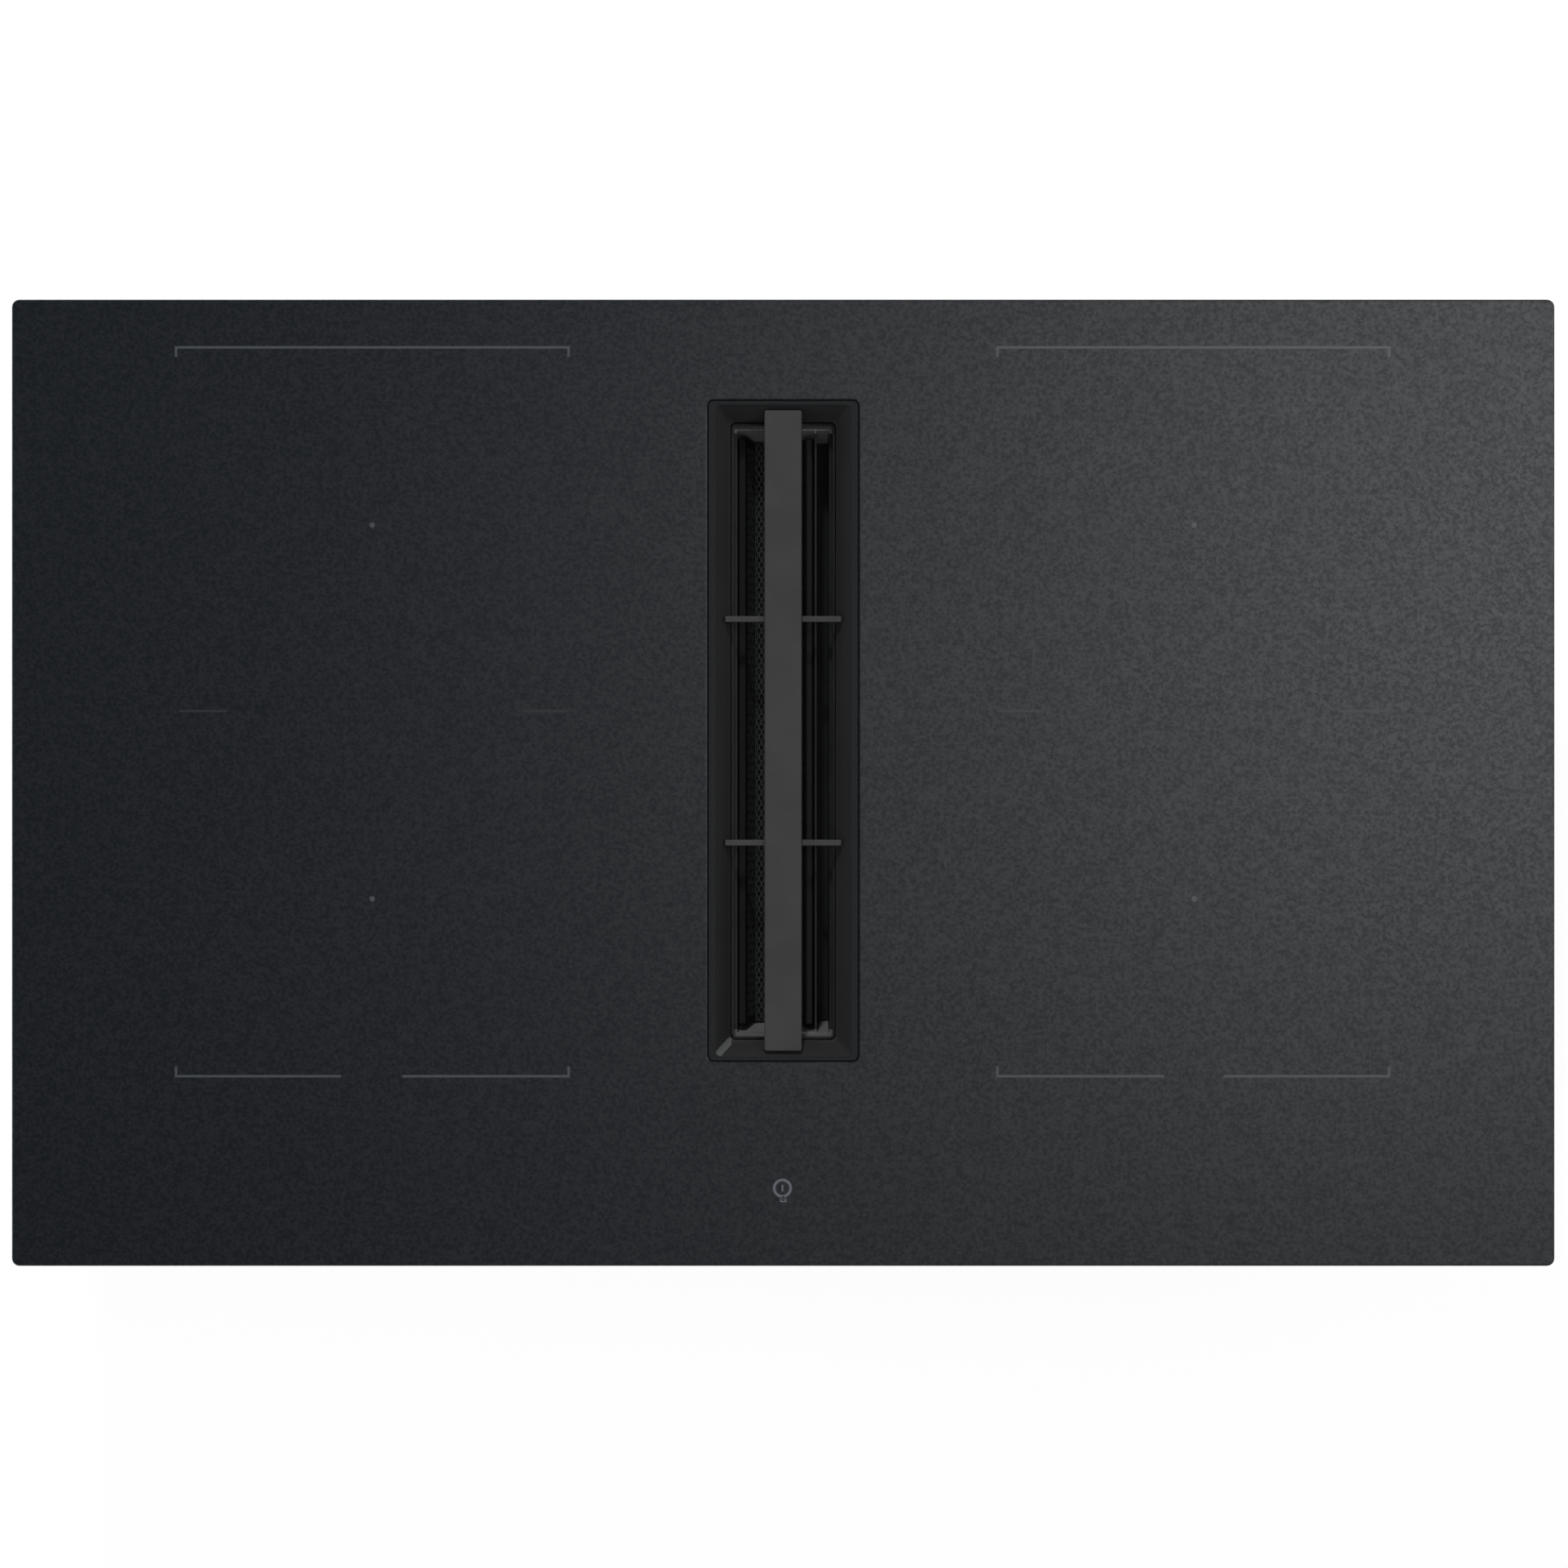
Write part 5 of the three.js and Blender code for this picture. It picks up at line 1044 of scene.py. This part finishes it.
# casing of the extractor, its outlet and its drawer
casing = {
    "rim": 0.8, "shellRim": 0.5, "ringRim": 0.4, "outletRim": 0.35, "flapRim": 0.3,
    "bandBorder": 5, "bandDepth": 0.7,
    "clipWidth": 16, "clipSheet": 0.8, "clipDrop": 13, "clipReach": 6, "clipRise": 3.0,
    "clipFlare": (1.6, 2.4), "clipWindow": (0.45, 0.75), "clipRim": 0.22,
    "clipsX": (0, 120, 240, 330), "clipsY": (-110, 20, 150), "drawerTo": 60,  # no clip in front of the drawer
    "fieldBorder": 15, "fieldDepth": 1.0, "ribWidth": 3.0, "ribFoot": 0.08, "ribRim": 0.5, "ribGap": 4,
    "ribsX": (20, 88, 156, 224, 292), "ribsY": (-80, 28, 136),
    "screwInset": 9, "screwRise": 0.7,
    "duct": (222, 89), "ductBead": (3.0, 6.0, 1.1), "ductCorners": (4, 2.6), "ductSheet": 0.4, "ductRim": 0.45,
    "plate": (-178, -112, 148, 188), "plateSheet": 0.5, "plateCorner": 3.5, "plateSteps": (1.6, 0.3), "plateSink": 0.2,
}


def sinkBand(piece, test, border, depth):  # a shallow field pressed into the chosen walls
    pick(piece, "FACE", test)
    bpy.ops.mesh.inset(thickness=border * mm, depth=0)
    bpy.ops.transform.shrink_fatten(value=-depth * mm)
    done()


def addTrayRibs(low, high):  # stiffening ribs in the field under the tray, flush with its border
    reach, half = casing["fieldBorder"] + casing["ribGap"], casing["ribWidth"] / 2
    top = casing["fieldDepth"] + 0.3
    foot = casing["ribFoot"]
    ribs = [addBlock(f"ribAlong{x}", (x - half, low.y + reach, foot), (x + half, high.y - reach, top))
            for x in casing["ribsX"]]
    ribs += [addBlock(f"ribAcross{y}", (low.x + reach, y - half, foot), (high.x - reach, y + half, top))
             for y in casing["ribsY"]]
    for rib in ribs:
        roundRims(rib, casing["ribRim"])
    ribs = joinAll("trayRibs", ribs)
    smooth(ribs)
    fit(ribs, "casing_plastic", "extractor_tray")
    inside = casing["fieldBorder"] + casing["screwInset"]
    corners = [(x, y, casing["fieldDepth"] + casing["screwRise"])
               for x in (low.x + inside, high.x - inside) for y in (low.y + inside, high.y - inside)]
    addScrews("trayScrews", corners, "-Z", "extractor_tray")


def addDuctBead():  # a band round the end of the outlet that holds a hose or duct
    low, high = boxOf("outlet_spigot")
    middle = (low + high) / 2
    wide, tall = (size / 2 for size in casing["duct"])
    width, back, proud = casing["ductBead"]
    outer, inner = casing["ductCorners"]
    sheet, far = casing["ductSheet"], high.y - back
    bead = addBlock("ductBead", (middle.x - wide - proud, far - width, middle.z - tall - proud),
                    (middle.x + wide + proud, far, middle.z + tall + proud))
    pick(bead, "EDGE", lambda place, way: abs(way.y) > 0.9)
    bpy.ops.mesh.bevel(offset=outer * mm, segments=5)
    done()
    bore = addBlock("ductBore", (middle.x - wide + sheet, far - 9, middle.z - tall + sheet),
                    (middle.x + wide - sheet, far + 9, middle.z + tall - sheet))
    pick(bore, "EDGE", lambda place, way: abs(way.y) > 0.9)
    bpy.ops.mesh.bevel(offset=inner * mm, segments=5)
    done()
    cutWith(bead, bore)
    roundRims(bead, casing["ductRim"])
    smooth(bead)
    fit(bead, "casing_plastic", "outlet_spigot")


def addBlankPlate():  # a plain metal label plate under the pan
    left, right, front, back = casing["plate"]
    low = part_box("base_pan")[0].z / mm
    plate = addBlock("labelPlate", (left, front, low - casing["plateSheet"]), (right, back, low + casing["plateSink"]))
    pick(plate, "EDGE", lambda place, way: abs(way.z) > 0.9)
    bpy.ops.mesh.bevel(offset=casing["plateCorner"] * mm, segments=5)
    done()
    pick(plate, "FACE", lambda place, normal: normal.z < -0.9)
    for step in casing["plateSteps"]:
        bpy.ops.mesh.inset(thickness=step * mm)
    bpy.ops.transform.translate(value=(0, 0, casing["plateSink"] * mm))
    done()
    smooth(plate)
    fit(plate, "bright_aluminium", "base_pan")


def makeClip():  # a bent spring clip, its back on the wall at Y 0, its lip reaching towards +Y at Z 0
    half, sheet, drop = casing["clipWidth"] / 2, casing["clipSheet"], casing["clipDrop"]
    wide, tall = casing["clipWindow"]
    out, down = casing["clipFlare"]
    clip = addBlock("clipPattern", (-half, -sheet, -drop), (half, 0, 0))
    pick(clip, "FACE", lambda place, normal: normal.z > 0.9)
    bpy.ops.mesh.extrude_region_move(TRANSFORM_OT_translate={"value": (0, 0, sheet * mm)})
    done()
    pick(clip, "FACE", lambda place, normal: normal.y > 0.9 and place.z > 0)
    bpy.ops.mesh.extrude_region_move(TRANSFORM_OT_translate={"value": (0, casing["clipReach"] * mm, 0)})
    done()
    pick(clip, "FACE", lambda place, normal: normal.z < -0.9 and place.z < -1)
    bpy.ops.mesh.extrude_region_move(TRANSFORM_OT_translate={"value": (0, -out * mm, -down * mm)})
    done()
    cutWith(clip, addBlock("clipWindow", (-half * wide, -9, -drop * tall), (half * wide, 9, -3)))
    roundRims(clip, casing["clipRim"])
    smooth(clip)
    return clip


def addClips():
    pattern = makeClip()
    low, high = boxOf("extractor_tray")
    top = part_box("scroll_housing")[0].z / mm + casing["clipRise"]
    spots = [((x, low.y, top), 0) for x in casing["clipsX"] if x > casing["drawerTo"]]
    spots += [((x, high.y, top), 180) for x in casing["clipsX"]]
    spots += [((low.x, y, top), -90) for y in casing["clipsY"]]
    spots += [((high.x, y, top), 90) for y in casing["clipsY"]]
    clips = [copyOf(pattern, f"clip{count}", place, turn) for count, (place, turn) in enumerate(spots)]
    bpy.data.objects.remove(pattern)
    fit(joinAll("casingClips", clips), "zinc_steel", "extractor_tray")


def addCasing():
    tray = traced("extractor_tray", "extractorTray", casing["rim"], 3)
    low, high = boxOf("extractor_tray")
    sinkBand(tray, lambda place, normal: normal.z < -0.99 and place.z < 0.3,
             casing["fieldBorder"], casing["fieldDepth"])
    # the front wall has no band, because the drawer's opening leaves too narrow a strip there
    sinkBand(tray, lambda place, normal: abs(normal.z) < 0.1 and (
        (abs(normal.x) > 0.99 and min(place.x - low.x, high.x - place.x) < 0.2)
        or (normal.y > 0.99 and high.y - place.y < 0.2)), casing["bandBorder"], casing["bandDepth"])
    smooth(tray)
    fit(tray, "casing_plastic", "extractor_tray", stands=True)
    addTrayRibs(low, high)
    standIn("scroll_housing", "scrollHousing", "casing_plastic", casing["shellRim"], angle=40)
    standIn("scroll_cover", "scrollCover", "casing_plastic", casing["shellRim"])
    standIn("inlet_ring", "inletRing", "grey_plastic", casing["ringRim"])
    standIn("outlet_spigot", "outletSpigot", "casing_plastic", casing["outletRim"])
    for level in ("upper", "lower"):
        standIn("backdraft_flap_" + level, level + "BackdraftFlap", "grey_plastic", casing["flapRim"])
    standIn("overflow_drawer", "overflowDrawer", "grey_plastic", casing["shellRim"])
    addDuctBead()
    addBlankPlate()
    addClips()


addCasing()
bpy.data.objects.remove(screwPattern)
print("casing ready")

for part in frame["record"]["subparts"]:
    for place in nodes[part["node"]].material_slots:
        place.material = finishes[part["material_slot"]]
